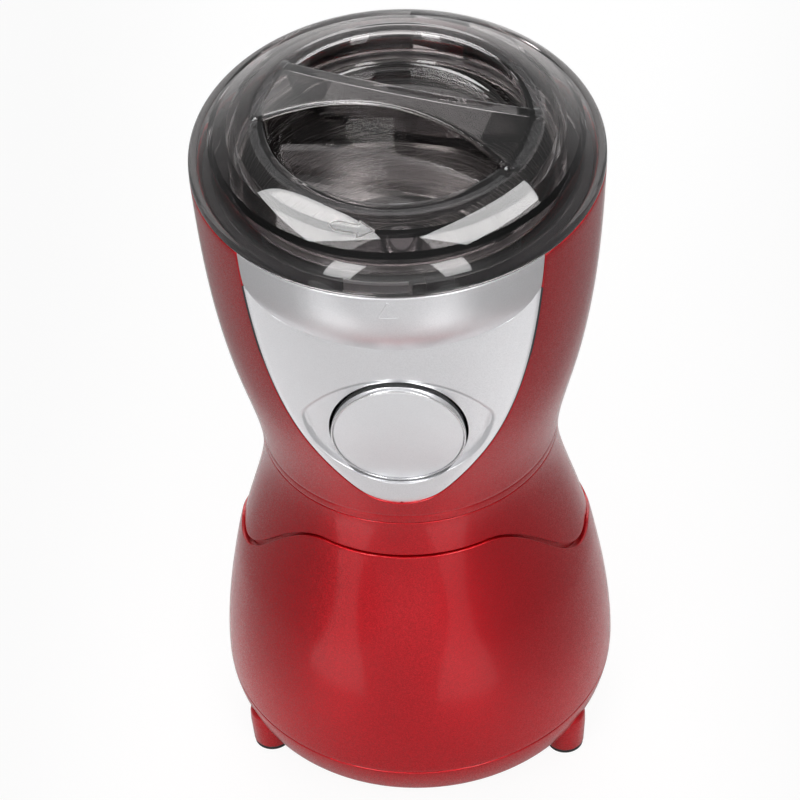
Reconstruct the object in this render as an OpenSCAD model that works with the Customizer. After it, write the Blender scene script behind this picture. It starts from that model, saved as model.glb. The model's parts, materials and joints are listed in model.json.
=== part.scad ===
// Electric spice grinder: an hourglass body on three legs, with a lid that is turned to lock.
// Heights whose names end in _z are measured from the underside of the body, and on_legs()
// raises every piece by the legs. The front of the grinder faces -Y, and +Z is up.

/* [Body outline] */
// Largest radius of the base
belly_r = 50; // [49:0.1:51]
// How far the body draws in from there to its underside
foot_in = 2.9; // [2.4:0.1:3.4]
// Height of the largest radius of the base
belly_z = 11; // [10:0.5:13]
// How far the base shell draws in up to its flank
flank_in = 3.9; // [3.4:0.1:4.4]
// Height of the flank
flank_z = 45; // [43:0.5:47]
// How far the waist draws in from the chest
waist_in = 6.1; // [5.8:0.1:6.4]
// Height of the narrowest place
waist_z = 84; // [82:0.5:86]
// How far the chest draws in from the top edge
chest_in = 6.8; // [6.4:0.1:7.2]
// Height of the chest
chest_z = 115.7; // [113:0.5:117]
// Radius of the body and the lid at their joint
top_r = 50; // [49:0.1:52]
// Height of the top edge of the body
top_z = 173.2; // [171:0.2:175]

/* [Shells] */
// Wall of the moulded shells
wall = 2.2; // [1.9:0.1:2.4]
// How far the base shell stands proud of the waist shell
base_proud = 1; // [0.8:0.1:1.2]
// Gap at the seams between shells
seam_gap = 0.3; // [0.2:0.05:0.4]
// Clearance between pieces that slip into each other
slip_gap = 0.15; // [0.1:0.05:0.2]
// Height of the seam between bottom cover and base shell
cover_z = 9.3; // [8.5:0.1:10]
// Height of the seam at the waist
waist_seam_z = 86.8; // [85.5:0.2:88]
// Height of the wavy edge of the base shell at the front
wave_high_z = 74.5; // [72:0.5:77]
// Height of the wavy edge round the sides and back
wave_low_z = 52; // [51:0.5:55]
// Half width of the level front stretch of the wavy edge
wave_flat_x = 23.5; // [21:0.5:26]
// Distance from the middle at which the wavy edge has come down
wave_end_x = 43.5; // [42:0.5:44]
// Height by which the waist shell's spigot stands inside the housing
spigot_h = 5; // [4:0.5:6]

/* [Front panel] */
// How far the panel's face stands in front of the waist
panel_out = 0.7; // [0.5:0.1:0.9]
// Radius of the panel's slightly bowed face
panel_face_r = 200; // [180:5:240]
// Thickness of the panel
panel_t = 2.2; // [2:0.1:2.4]
// Depth of the pointed dish round the button
dish_depth = 0.8; // [0.6:0.1:1]
// Half width of the pointed dish
dish_half_w = 23.7; // [23:0.1:24.5]
// Height of the dish above its widest place
dish_up = 12.8; // [12:0.2:14]
// Depth of the dish below its widest place
dish_down = 21.6; // [20.5:0.2:22.5]
// Height of the widest place of the dish
dish_z = 122; // [121:0.5:123]

/* [Bowl surround] */
// How far the rounded collar under the lid stays inside the top edge
collar_in = 0.2; // [0.1:0.05:0.5]
// How far the collar's widest place lies below the top edge of the body
collar_drop = 2.2; // [1.8:0.2:3]
// How far the collar draws in towards its lower edge
collar_draw = 13.8; // [13:0.2:14.4]
// Height over which the collar draws in
collar_h = 26.5; // [25.5:0.5:27.5]
// How quickly the collar rounds in
collar_power = 2.45; // [2.3:0.05:2.6]
// Wall of the collar
collar_wall = 2.2; // [2:0.1:2.4]
// How far the deck that carries the bowl lies below the top edge of the body
deck_drop = 1.7; // [1.5:0.1:2.2]
// Thickness of the deck
deck_t = 2; // [1.6:0.1:2.4]
// Height of the ring that centres the surround in the housing
skirt_h = 7.5; // [6:0.5:9]

/* [Bowl] */
// Width of the bowl's flange
flange_w = 2.5; // [2.2:0.1:3]
// Sheet thickness of the bowl
bowl_t = 0.8; // [0.6:0.1:1]
// Depth of the bowl below the deck
bowl_depth = 33.5; // [32.5:0.5:34]
// Gap between bowl and collar
bowl_gap = 0.6; // [0.4:0.1:0.8]

/* [Button] */
// Radius of the chrome ring round the button
button_r = 16.9; // [16.6:0.1:17.1]
// Height of the button's middle
button_z = 118.8; // [118.4:0.1:119.2]
// How far the button stands in front of the panel's face
button_stand = 3; // [2.6:0.1:3.4]
// Thickness of the chrome ring
button_ring_t = 0.65; // [0.5:0.05:0.8]
// Gap between the button and its guide
button_gap = 0.4; // [0.35:0.05:0.5]
// Travel of the button
button_travel = 3; // [2:0.5:3]
// Radius of the button's stem
stem_r = 3.5; // [3:0.1:4]
// Depth of the button's guide behind the panel's face
guide_depth = 10.3; // [10:0.1:10.6]

/* [Motor] */
// Radius of the motor shaft
shaft_r = 3; // [2.8:0.1:3.2]
// Radial clearance of running fits
run_gap = 0.06; // [0.04:0.01:0.08]
// Thickness of the stator beside the armature's bore
stator_wall = 11.5; // [11.3:0.1:12]
// Air gap between armature and stator
air_gap = 0.5; // [0.4:0.05:0.7]
// Room between the waist's outline and the side of the stator
motor_room = 10.6; // [10:0.1:11]
// Thickness of the stator in front of and behind the bore
stator_back = 5; // [4.5:0.1:6]
// Height of the stator stack
stator_h = 28; // [24:1:30]
// Height of the bottom of the stator stack
stator_z = 62; // [60:0.5:63]
// Thickness of the bearing brackets
bracket_t = 3; // [2.6:0.1:3.4]
// Height of the top face of the lower bracket
lower_bracket_z = 38; // [37:0.5:39]
// Clearance between the cooling fan and the bracket's legs
fan_gap = 3.5; // [2.5:0.5:5]
// Depth of the commutator over the shaft
commutator_t = 6; // [5:0.1:6.4]
// Radius of a motor bolt
bolt_r = 1.5; // [1.4:0.1:1.6]

/* [Blade] */
// Clearance between the blade's tips and the bowl
blade_gap = 3.2; // [2.6:0.1:5]
// Width of the blade
blade_w = 11; // [9:0.5:12]
// Thickness of the blade
blade_t = 1.4; // [1.2:0.1:1.6]
// Angle to which the blade's tips are bent
tip_angle = 22; // [15:1:25]

/* [Lid] */
// Height of the dome from the lid's edge to its crown
dome_h = 13.2; // [12:0.2:14]
// How far the crown ring lies inside the lid's edge
crown_in = 15.5; // [15:0.1:16]
// Width of the crown ring
crown_w = 3; // [2.5:0.1:3.5]
// Depth of the finger scoops below the crown
scoop_depth = 7.5; // [6:0.5:8]
// Height of the straight edge of the lid
lid_edge_h = 1.6; // [1.2:0.1:2]
// Wall of the lid
lid_wall = 2; // [1.8:0.1:2.4]
// Height by which the grip arches over the crown
grip_rise = 6; // [5:0.5:7]
// Width of the grip at its middle
grip_mid_w = 7.8; // [7:0.2:9]
// Width of the grip at its ends
grip_end_w = 24; // [22:0.5:25]
// Angle of the grip to the front of the grinder
grip_angle = -16; // [-20:1:-12]
// Angle through which the lid turns to lock
lock_angle = 18; // [16:1:20]
// Angle of the front locking lug
lug_angle = -93; // [-96:1:-90]

/* [Interlock] */
// Radius of the interlock rod
rod_r = 1.3; // [1.1:0.1:1.4]
// Travel of the rod
rod_travel = 2.4; // [2:0.1:2.6]

/* [Base] */
// Height of the legs
leg_h = 8.5; // [7:0.5:10]
// Radius of a leg at its top
leg_top_r = 5.3; // [5:0.1:5.6]
// Radius of a leg at its foot
leg_foot_r = 4.8; // [4.4:0.1:5]
// Distance of a leg's middle inside the belly
leg_in = 5.7; // [5.4:0.1:6.5]
// Thickness of a foot pad
pad_t = 1.2; // [1:0.1:1.6]
// Radius of the cord's inlet
cord_r = 3.4; // [3:0.1:3.6]
// Height of the cord's inlet
cord_z = 24; // [22:0.5:26]

/* [Hidden] */

$fn = 96;
far = 70;                 // beyond every outline
skin = 0.01;              // overshoot of a cut
body_gap = 0.3;           // gap between pieces that move apart
seat_gap = 0.02;          // film between pieces that are screwed together
flank_slope = -0.18;      // slopes of the body's outline at its flank, chest and top
chest_slope = 0.235;
top_slope = 0.05;
outline_steps = 20;       // straight runs in a turned outline

shell_red = [0.70, 0.11, 0.15];
satin_silver = [0.80, 0.80, 0.82];
smoke = [0.30, 0.29, 0.30, 0.55];
black_plastic = [0.08, 0.08, 0.09];
steel = [0.72, 0.73, 0.75];
copper = [0.78, 0.42, 0.22];
brass = [0.80, 0.66, 0.34];
iron = [0.42, 0.43, 0.46];

// Radii of the outline
foot_r = belly_r - foot_in;
flank_r = belly_r - flank_in;
chest_r = top_r - chest_in;
waist_r = chest_r - waist_in;

// Front panel and its pointed dish
panel_y = waist_r + panel_out;
tip_z = panel_tip(waist_z, chest_z);
dish_face_y = panel_y - dish_depth;

// Joint between waist shell and its neighbours
waist_skirt_in = wall + slip_gap - base_proud;
waist_skirt_t = 1.6;
spigot_r = body_r(waist_seam_z) - wall - slip_gap;
spigot_t = 1.6;
spigot_root = 7;

// Collar, deck and the ring below the deck
collar_r = top_r - collar_in;
collar_z = top_z - collar_drop;
collar_foot_z = collar_z - collar_h;
collar_run = 12;          // how far the collar's outline is drawn on below its foot
cheek_drop = 6;
cheek_top_z = collar_z - cheek_drop;
deck_z = top_z - deck_drop;
skirt_r = body_r(deck_z - skirt_h) - wall - body_gap;
skirt_t = 2;
ledge_z = deck_z - skirt_h;
ledge_angles = [30, 150, 210, 330];

// Locking lugs of the lid under the hooks of the deck
hook_riser_t = 0.9;
hook_gap = 0.4;
hook_t = 1.2;
hook_w = 8;               // angles that a hook and a lug take up
lug_w = 20;
lug_t = 1.5;
lug_reach = 1.3;
lug_r = skirt_r - hook_riser_t - body_gap;
lug_angles = [lug_angle, lug_angle + 120, lug_angle + 240];
lock_ring_t = 1.4;
lock_ring_r = lug_r - lug_reach;
lock_ring_in = lock_ring_r - lock_ring_t;
lock_ring_z = deck_z + 0.6;

// Bowl and shaft seal; the rod runs in the lane between the lid's two rings
rod_lane = 2 * (rod_r + 0.2);
flange_r = lock_ring_in - rod_lane;
bowl_r = flange_r - flange_w;
deck_hole_r = bowl_r + 0.5;
bowl_z = deck_z - bowl_depth;
bowl_rim_z = deck_z + bowl_t;
bowl_knee_z = bowl_z + 1.6;
knee_in = 2;
seal_r = 5.3;
seal_flange_r = 8;
seal_flange_t = 1.4;
seal_foot_t = 2.4;

// Small screws
screw_r = 1.5;
screw_head_r = 2.8;
screw_head_h = 1.6;
screw_l = 9;

// Button, guide and switch
button_face_y = panel_y + button_stand;
hole_r = button_r + button_gap;
sleeve_t = 0.6;
sleeve_r = hole_r + sleeve_t;
guide_r = sleeve_r + 0.7;
guide_front_y = panel_y - panel_t - 1.3;
guide_back_y = panel_y - guide_depth;
guide_back_t = 1.5;
ring_room = 3.5;
ring_back_y = guide_back_y + button_travel + ring_room;
cap_r = button_r - button_ring_t - 0.05;
cap_t = 2;
stem_end_y = guide_back_y - guide_back_t - 0.4;
coil_room = 2.5;
button_coil_r = stem_r + coil_room;
switch_w = 22;
switch_h = 12;
switch_l = 10;
switch_gap = 4.5;
switch_front_y = guide_back_y - guide_back_t - switch_gap;
switch_back_y = switch_front_y - switch_l;
arm_h = 8;
arm_t = 2;
plunger_r = 1.6;
plunger_in = 3.5;
plunger_end_y = switch_front_y - plunger_in;

// Motor
stator_w = 2 * (waist_r - motor_room);
armature_r = stator_w / 2 - stator_wall - air_gap;
commutator_r = shaft_r + commutator_t;
stator_top_z = stator_z + stator_h;
stator_corner = 4;
stator_corner_r = stator_w / 2 + stator_corner;
bore_r = armature_r + air_gap;
stator_d = 2 * (bore_r + stator_back);
slot_in_x = 8.5;
slot_in_y = 9;
slot_x = stator_w / 2 - slot_in_x;
slot_y = stator_d / 2 - slot_in_y;
slot_r = 3.6;
coil_h = 5;
coil_in_r = bore_r + 1.5;
coil_out_r = stator_d / 2 + 2.2;
coil_angle = 2 * (90 - atan2(slot_y, slot_x)) + 12;
bracket_w = 18;
bracket_leg_x = stator_w / 2 - 4;
bolt_x = stator_w / 2 - 2;
bolt_head_h = 2;
bush_r = shaft_r + 2;
bush_l = 8;
winding_h = 6;
winding_r = armature_r - 1.5;
commutator_gap = 4;       // clear height between the lower bracket and the commutator
commutator_z = lower_bracket_z + commutator_gap;
commutator_h = stator_z - winding_h - commutator_z - 2;
brush_z = commutator_z + commutator_h / 2;
holder_r = 4;
holder_gap = 2.5;
holder_in_x = commutator_r + holder_gap;
holder_out_x = stator_w / 2 + 2;
brush_w = 4.4;
brush_gap = 0.3;
brush_share = 0.58;       // part of the way to the bolts that a brush takes up, the rest is spring
brush_l = brush_share * (bolt_x - bolt_r - commutator_r - brush_gap);
fan_r = bracket_leg_x - fan_gap;
fan_z = stator_top_z + winding_h + 2;
fan_h = 7;
upper_bracket_z = button_z - switch_h / 2 - bracket_t - 0.4;
damper_neck_r = 3.4;
damper_r = 5;
damper_t = 1.6;
damper_screw_l = 8;

// Plate under the bowl, with the posts that carry the motor
support_t = 3;
support_z = bowl_z - support_t;
support_r = body_r(support_z) - wall - 0.5;
support_front_y = guide_back_y - guide_back_t - 1;
support_angles = [45, 135, 225, 315];
support_ring_r = support_r - 5.1;
support_boss_r = 3.6;
boss_h = 17;
boss_foot_z = support_z - boss_h;
motor_post_x = bolt_x + bolt_r + damper_r + 0.8;
motor_post_r = 4;
post_foot_z = upper_bracket_z + bracket_t + damper_t;

// Shaft, blade and nut
shaft_low_z = lower_bracket_z - bracket_t - 4;
nut_h = 4.5;
hub_z = bowl_z + bowl_t + seal_flange_t + 0.4;
hub_l = 2.6;
blade_z = hub_z + hub_l;
shaft_top_z = blade_z + blade_t + nut_h - 1;
blade_r = bowl_r_at(blade_z) - bowl_t - blade_gap;

// Lid: dome, scoops and the rings inside it
lid_z = top_z + body_gap;
crown_z = lid_z + dome_h;
crown_r = top_r - crown_in;
scoop_r = crown_r - crown_w;
dome_power = 1.53;
dome_steps = 18;
scoop_floor_z = crown_z - scoop_depth;
seal_seat_z = bowl_rim_z + body_gap;
seal_t = 2.1;
lid_ring_z = seal_seat_z + seal_t + body_gap;
lid_ring_r = flange_r;
lid_ring_in = bowl_r + 0.5;

// Interlock: rod, ramp on the lid, and switch
rod_y = (lid_ring_r + lock_ring_in) / 2;
rod_top_z = deck_z + 3.1;
cam_gap = 0.4;
cam_heel = 1.6;
interlock_top_z = support_z - 1;
interlock_h = 12;
interlock_w = 14;
interlock_in_y = rod_y - 8.6;
rod_end_z = interlock_top_z - 3;
rod_collar_rise = 11;
rod_collar_z = bowl_z + rod_collar_rise;
rod_collar_r = 2.5;
rod_collar_t = 1.5;

// Bottom cover, legs and cord inlet
cover_t = 2.2;
cover_rim_t = 1.6;
cover_rim_h = 4;
slot_w = 2.6;
slot_step = 6;
slot_rows = 4;
slots_r = 26;
base_screw_angles = [30, 150, 270];
base_screw_r = 1.5;
base_screw_l = 12;
base_screw_end_z = cover_t + base_screw_l - 1.5;
base_boss_r = 3.4;
base_boss_gap = 2.7;
base_screw_ring_r = base_r(cover_z) - wall - cover_rim_t - base_boss_r - base_boss_gap;
base_boss_z = cover_t + 0.3;
base_boss_top_z = 20;
base_rib_w = 2.4;
leg_angles = [-150, -30, 90];
leg_ring_r = belly_r - leg_in;
pad_r = leg_foot_r - 0.9;
bushing_wall = 1.5;
bushing_lip = 1.6;
bushing_barb = 1;
bushing_barb_l = 2;
bushing_body_r = cord_r + bushing_wall;
bushing_flange_r = bushing_body_r + bushing_lip;
bushing_out_y = belly_r;
bushing_flange_t = 1.2;
bushing_l = 8;

// ---- outlines ------------------------------------------------------------------------

function hermite(z, z0, r0, s0, z1, r1, s1) =
    let (h = z1 - z0, t = (z - z0) / h, t2 = t * t, t3 = t2 * t)
    r0 * (2 * t3 - 3 * t2 + 1) + s0 * h * (t3 - 2 * t2 + t)
    + r1 * (3 * t2 - 2 * t3) + s1 * h * (t3 - t2);

// Outline of the waist shell and the upper housing
function body_r(z) =
    z < waist_z ? hermite(z, flank_z, flank_r - base_proud, flank_slope, waist_z, waist_r, 0)
    : z < chest_z ? hermite(z, waist_z, waist_r, 0, chest_z, chest_r, chest_slope)
    : hermite(z, chest_z, chest_r, chest_slope, top_z, top_r, top_slope);

// Outline of the bottom cover and the base shell
function base_r(z) =
    z < belly_z ? belly_r - (belly_r - foot_r) * pow(1 - z / belly_z, 2)
    : z < flank_z ? hermite(z, belly_z, belly_r, 0, flank_z, flank_r, flank_slope)
    : body_r(z) + base_proud;

// Outline of the collar under the lid
function collar_r_at(z) =
    z > collar_z ? collar_r
    : collar_r - collar_draw * pow((collar_z - z) / collar_h, collar_power);

// Outline of the bowl, which follows the inside of the collar
function bowl_r_at(z) = min(bowl_r, collar_r_at(z) - collar_wall - bowl_gap);

function levels(z0, z1, n = outline_steps) = [for (i = [0:n]) z0 + (z1 - z0) * i / n];
function reversed(list) = [for (i = [len(list) - 1:-1:0]) list[i]];
function inset(points, by) = [for (p = points) [p[0] - by, p[1]]];
function body_line(z0, z1) = [for (z = levels(z0, z1)) [body_r(z), z]];
function base_line(z0, z1) = [for (z = levels(z0, z1)) [base_r(z), z]];
function collar_line(z0, z1) = [for (z = levels(z0, z1)) [collar_r_at(z), z]];
function bowl_line(z0, z1) = [for (z = levels(z0, z1)) [bowl_r_at(z), z]];

module on_legs() translate([0, 0, leg_h]) children();

// A ring between an outline and the same outline drawn in
module turned_wall(line, outer_in, inner_in)
    rotate_extrude()
    polygon(concat(inset(line, outer_in), reversed(inset(line, inner_in))));

// The solid that an outline turns round the axis
module turned_solid(line, grow = 0)
    rotate_extrude()
    polygon(concat([[0, line[0][1]]], inset(line, -grow), [[0, line[len(line) - 1][1]]]));

module ring(outer, inner, z0, z1)
    translate([0, 0, z0]) difference() {
        cylinder(r = outer, h = z1 - z0);
        translate([0, 0, -1]) cylinder(r = inner, h = z1 - z0 + 2);
    }

module rod_at(x, y, r, z0, z1) translate([x, y, z0]) cylinder(r = r, h = z1 - z0);

module block(x0, x1, y0, y1, z0, z1)
    translate([x0, y0, z0]) cube([x1 - x0, y1 - y0, z1 - z0]);

// A cylinder along Y at the button's height, between two distances in front of the axis
module button_disc(r, front, back)
    translate([0, -back, button_z]) rotate([90, 0, 0]) cylinder(r = r, h = front - back);

// A helical spring of round wire along +Z, as one swept tube
module coil_spring(coil_r, wire_r, length, turns) {
    sides = 6;
    per_turn = 14;
    n = turns * per_turn;
    rise = length - 2 * wire_r;
    points = [for (i = [0:n], j = [0:sides - 1])
        let (a = 360 * i / per_turn, b = 360 * j / sides, r = coil_r + wire_r * cos(b))
        [r * cos(a), r * sin(a), wire_r + rise * i / n + wire_r * sin(b)]];
    walls = [for (i = [0:n - 1], j = [0:sides - 1])
        let (k = (j + 1) % sides, p = i * sides, q = p + sides)
        [p + j, q + j, q + k, p + k]];
    first = [for (j = [0:sides - 1]) j];
    last = [for (j = [sides - 1:-1:0]) n * sides + j];
    polyhedron(points, concat(walls, [first, last]));
}

// ---- front panel shapes --------------------------------------------------------------

// Everything in front of the panel's face, or of that face moved back
module before_panel(back = 0)
    difference() {
        block(-far, far, -far, 0, 0, lid_z + far);
        translate([0, panel_face_r - panel_y, -1])
            cylinder(r = panel_face_r - back, h = lid_z + far + 2, $fn = 240);
    }

// Height at which the body's outline passes through the panel's face
function panel_tip(low, high, n = 24) =
    n == 0 ? low
    : let (mid = (low + high) / 2)
      body_r(mid) < panel_y ? panel_tip(mid, high, n - 1) : panel_tip(low, mid, n - 1);

// Half width of the panel where its face meets the body's outline
function panel_half_w(z) =
    sqrt(max(0, (pow(body_r(z), 2) - pow(panel_y, 2)) / (1 - panel_y / panel_face_r)));

// The panel's outline, seen from the front
module panel_outline(grow = 0, up_to = top_z) {
    n = 16;
    side = [for (i = [1:n])
        let (z = tip_z + (up_to - tip_z) * pow(i / n, 1.8)) [panel_half_w(z) + grow, z]];
    other = [for (p = reversed(side)) [-p[0], p[1]]];
    polygon(concat([[0, tip_z - grow]], side, other));
}

// The panel's outline as a window through the front of the body
module panel_window(grow, back, up_to = top_z)
    intersection() {
        rotate([90, 0, 0]) linear_extrude(height = far) panel_outline(grow, up_to);
        before_panel(back);
    }

// The pointed dish round the button: a flat arc above and a deep arc below
module dish_outline() {
    upper = (pow(dish_half_w, 2) + pow(dish_up, 2)) / (2 * dish_up);
    lower = (pow(dish_half_w, 2) + pow(dish_down, 2)) / (2 * dish_down);
    intersection() {
        translate([0, dish_z + dish_up - upper]) circle(r = upper);
        translate([0, dish_z - dish_down + lower]) circle(r = lower);
    }
}

// ---- body shells ---------------------------------------------------------------------

// Above the wavy edge of the base shell, moved up by a gap
module above_wave(gap = 0) {
    n = 12;
    slope = [for (i = [0:n])
        let (t = i / n, x = wave_end_x + (wave_flat_x - wave_end_x) * t)
        [x, gap + wave_low_z + (wave_high_z - wave_low_z) * t * t * (3 - 2 * t)]];
    mirrored = [for (p = reversed(slope)) [-p[0], p[1]]];
    low = gap + wave_low_z;
    rotate([90, 0, 0]) linear_extrude(height = far)
        polygon(concat([[far, 2 * far], [far, low]], slope, mirrored,
            [[-far, low], [-far, 2 * far]]));
    block(-far, far, -skin, far, low, 2 * far);
}

module base_shell() color(shell_red) on_legs() {
    difference() {
        turned_wall(base_line(cover_z + seam_gap / 2, wave_high_z), 0, wall);
        above_wave();
        translate([0, 0, cord_z]) rotate([-90, 0, 0])
            cylinder(r = bushing_body_r + slip_gap, h = far);
        translate([0, bushing_out_y - bushing_flange_t, cord_z]) rotate([-90, 0, 0])
            cylinder(r = bushing_flange_r + slip_gap, h = far);
    }
    for (a = base_screw_angles) rotate(a) difference() {
        union() {
            rod_at(base_screw_ring_r, 0, base_boss_r, base_boss_z, base_boss_top_z);
            block(base_screw_ring_r, base_r(base_boss_top_z) - wall / 2, -base_rib_w / 2,
                base_rib_w / 2, cover_z + 2, base_boss_top_z);
        }
        rod_at(base_screw_ring_r, 0, base_screw_r + slip_gap, base_boss_z - 1,
            base_screw_end_z + 1);
    }
}

module waist_shell() color(shell_red) on_legs() {
    intersection() {
        turned_wall(body_line(wave_low_z, waist_seam_z), 0, wall);
        above_wave(seam_gap);
    }
    turned_wall(body_line(flank_z, waist_seam_z), waist_skirt_in,
        waist_skirt_in + waist_skirt_t);
    ring(spigot_r, spigot_r - spigot_t, waist_seam_z - spigot_root, waist_seam_z + spigot_h);
}

module upper_housing() color(shell_red) on_legs() {
    difference() {
        turned_wall(body_line(waist_seam_z + seam_gap, top_z), 0, wall);
        panel_window(0, panel_t + slip_gap, top_z + 1);
    }
    for (a = support_angles) rotate(a) difference() {
        union() {
            rod_at(support_ring_r, 0, support_boss_r, boss_foot_z, support_z - seat_gap);
            block(support_ring_r, body_r(boss_foot_z) - wall / 2, -1, 1, boss_foot_z,
                support_z - seat_gap);
        }
        rod_at(support_ring_r, 0, screw_r + slip_gap, support_z - screw_l, support_z + 1);
    }
    for (a = ledge_angles) rotate(a)
        block(skirt_r - 2.5, body_r(ledge_z) - wall / 2, -3, 3, ledge_z - 4, ledge_z);
}

module front_panel() color(satin_silver) on_legs()
    difference() {
        panel_window(-slip_gap, panel_t);
        before_panel();
        block(-far, far, -far, 0, cheek_top_z, lid_z + far);
        turned_solid(collar_line(collar_foot_z - collar_run, top_z + 1), slip_gap);
        intersection() {
            rotate([90, 0, 0]) linear_extrude(height = far) dish_outline();
            before_panel(dish_depth);
        }
        button_disc(sleeve_r + slip_gap, far, 1);
    }

// ---- bowl surround, bowl and support -------------------------------------------------

module bowl_surround() color(satin_silver) on_legs() {
    difference() {
        union() {
            ring(skirt_r, deck_hole_r, deck_z - deck_t, deck_z);
            ring(skirt_r, skirt_r - skirt_t, ledge_z, deck_z);
        }
        rod_at(0, rod_y, rod_r + run_gap, deck_z - far, deck_z + 1);
    }
    intersection() {
        panel_window(-slip_gap, panel_t);
        union() {
            turned_wall(collar_line(collar_foot_z, top_z), 0, collar_wall);
            ring(collar_r - collar_wall / 2, deck_hole_r, deck_z - deck_t, deck_z);
        }
    }
    for (a = lug_angles) rotate(a + lock_angle) lid_hook();
}

// Wedge-shaped sector of a ring, centred on the X axis
module ring_sector(outer, inner, z0, z1, angle)
    rotate(-angle / 2) translate([0, 0, z0])
    rotate_extrude(angle = angle) translate([inner, 0]) square([outer - inner, z1 - z0]);

module grinding_bowl() color(steel) on_legs() {
    outer = bowl_line(bowl_knee_z, deck_z);
    knee_r = bowl_r_at(bowl_knee_z) - knee_in;
    rotate_extrude() polygon(concat(
        [[seal_r + slip_gap, bowl_z], [knee_r, bowl_z]], outer,
        [[flange_r, deck_z], [flange_r, bowl_rim_z], [bowl_r - bowl_t, bowl_rim_z]],
        reversed(inset(outer, bowl_t)),
        [[knee_r, bowl_z + bowl_t], [seal_r + slip_gap, bowl_z + bowl_t]]));
}

module shaft_seal() color(black_plastic) on_legs()
    difference() {
        union() {
            rod_at(0, 0, seal_r, bowl_z - seal_foot_t, bowl_z + bowl_t + seal_flange_t);
            rod_at(0, 0, seal_flange_r, bowl_z + bowl_t, bowl_z + bowl_t + seal_flange_t);
        }
        rod_at(0, 0, shaft_r + run_gap, bowl_z - far, bowl_z + far);
    }

// Plate under the bowl; its two posts carry the motor
module bowl_support() color(black_plastic) on_legs()
    difference() {
        union() {
            rod_at(0, 0, support_r, support_z, bowl_z);
            for (x = [-motor_post_x, motor_post_x])
                rod_at(x, 0, motor_post_r, post_foot_z, bowl_z - 1);
        }
        block(-far, far, -far, -support_front_y, support_z - 1, bowl_z + 1);
        rod_at(0, 0, seal_flange_r + 1, support_z - 1, bowl_z + 1);
        rod_at(0, rod_y, rod_r + body_gap, support_z - 1, bowl_z + 1);
        for (a = support_angles) rotate(a)
            rod_at(support_ring_r, 0, screw_r + slip_gap, support_z - 1, bowl_z + 1);
        for (x = [-motor_post_x, motor_post_x])
            rod_at(x, 0, screw_r + slip_gap, post_foot_z - 1, post_foot_z + damper_screw_l);
    }

// A pan-head screw pointing down from its seat at z = 0
module pan_screw(r, length, head_r, head_h)
    rotate_extrude() polygon([
        [0, -length], [r * 0.4, -length], [r, -length + r], [r, 0], [head_r, 0],
        [head_r, head_h * 0.5], [head_r * 0.7, head_h], [0, head_h]]);

module support_screws() color(steel) on_legs()
    for (a = support_angles) rotate(a)
        translate([support_ring_r, 0, bowl_z])
        pan_screw(screw_r, screw_l + support_t - 1, screw_head_r, screw_head_h);

// ---- lid -----------------------------------------------------------------------------

// Outside of the dome, from its straight edge up to the crown ring
function dome_line(wall_in) = [for (i = [0:dome_steps])
    let (t = 90 * i / dome_steps)
    [crown_r + (top_r - crown_r) * pow(cos(t), dome_power) - wall_in * cos(t),
     lid_z + lid_edge_h + (dome_h - lid_edge_h) * sin(t) - wall_in * sin(t)]];

module dome_solid(wall_in, low)
    rotate_extrude() polygon(concat([[0, low], [top_r - wall_in, low]], dome_line(wall_in),
        [[0, crown_z - wall_in]]));

// Plan of the grip: wide at both ends, hollowed in the middle
module grip_plan(thin = 0) {
    half = scoop_r + 1;
    sag = (grip_end_w - grip_mid_w) / 2;
    hollow_r = (half * half + sag * sag) / (2 * sag);
    rotate(grip_angle) difference() {
        square([2 * half, grip_end_w - 2 * thin], center = true);
        for (s = [-1, 1])
            translate([0, s * (grip_mid_w / 2 + hollow_r)]) circle(r = hollow_r + thin);
    }
}

// Side arch of the grip, rising over the crown
module grip_arch(thin = 0) {
    half = scoop_r + 1;
    arch_r = (half * half + grip_rise * grip_rise) / (2 * grip_rise);
    rotate(grip_angle) translate([0, 0, crown_z + grip_rise - arch_r]) rotate([90, 0, 0])
        cylinder(r = arch_r - thin, h = 4 * scoop_r, center = true);
}

module lid() color(smoke) on_legs() {
    difference() {
        union() {
            dome_solid(0, lid_z);
            intersection() {
                translate([0, 0, scoop_floor_z]) linear_extrude(height = far)
                    intersection() { grip_plan(); circle(r = crown_r - 1); }
                grip_arch();
            }
        }
        // finger scoops on both sides of the grip
        translate([0, 0, scoop_floor_z]) linear_extrude(height = scoop_depth + 1)
            difference() { circle(r = scoop_r); grip_plan(); }
        // hollow under the dome, outside the scoops and under the grip
        difference() {
            dome_solid(lid_wall, lid_z - 1);
            translate([0, 0, scoop_floor_z - lid_wall]) linear_extrude(height = far)
                difference() { circle(r = scoop_r + lid_wall); grip_plan(lid_wall); }
        }
        intersection() {
            translate([0, 0, scoop_floor_z - lid_wall - 1]) linear_extrude(height = far)
                intersection() { grip_plan(lid_wall); circle(r = scoop_r - 1); }
            grip_arch(lid_wall);
        }
    }
    lid_skirts();
}

// Rings inside the lid: one presses on the seal, one carries the locking lugs and the cam
module lid_skirts() {
    intersection() {
        union() {
            ring(lid_ring_r, lid_ring_in, lid_ring_z, crown_z);
            ring(lock_ring_r, lock_ring_in, lock_ring_z, crown_z);
        }
        dome_solid(lid_wall / 2, lock_ring_z - 1);
    }
    for (a = lug_angles) rotate(a)
        ring_sector(lug_r, lock_ring_in + 0.4, lock_ring_z, lock_ring_z + lug_t, lug_w);
    rotate(90 - lock_angle) interlock_cam();
}

// Hook on the deck: a riser with a lip over the turned lug
module lid_hook() {
    riser_in = lug_r + body_gap;
    riser_out = skirt_r - slip_gap;
    lip_z = lock_ring_z + lug_t + hook_gap;
    ring_sector(riser_out, riser_in, deck_z - deck_t / 2, lip_z + hook_t, hook_w);
    ring_sector(riser_out, lock_ring_r + body_gap, lip_z, lip_z + hook_t, hook_w);
}

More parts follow.
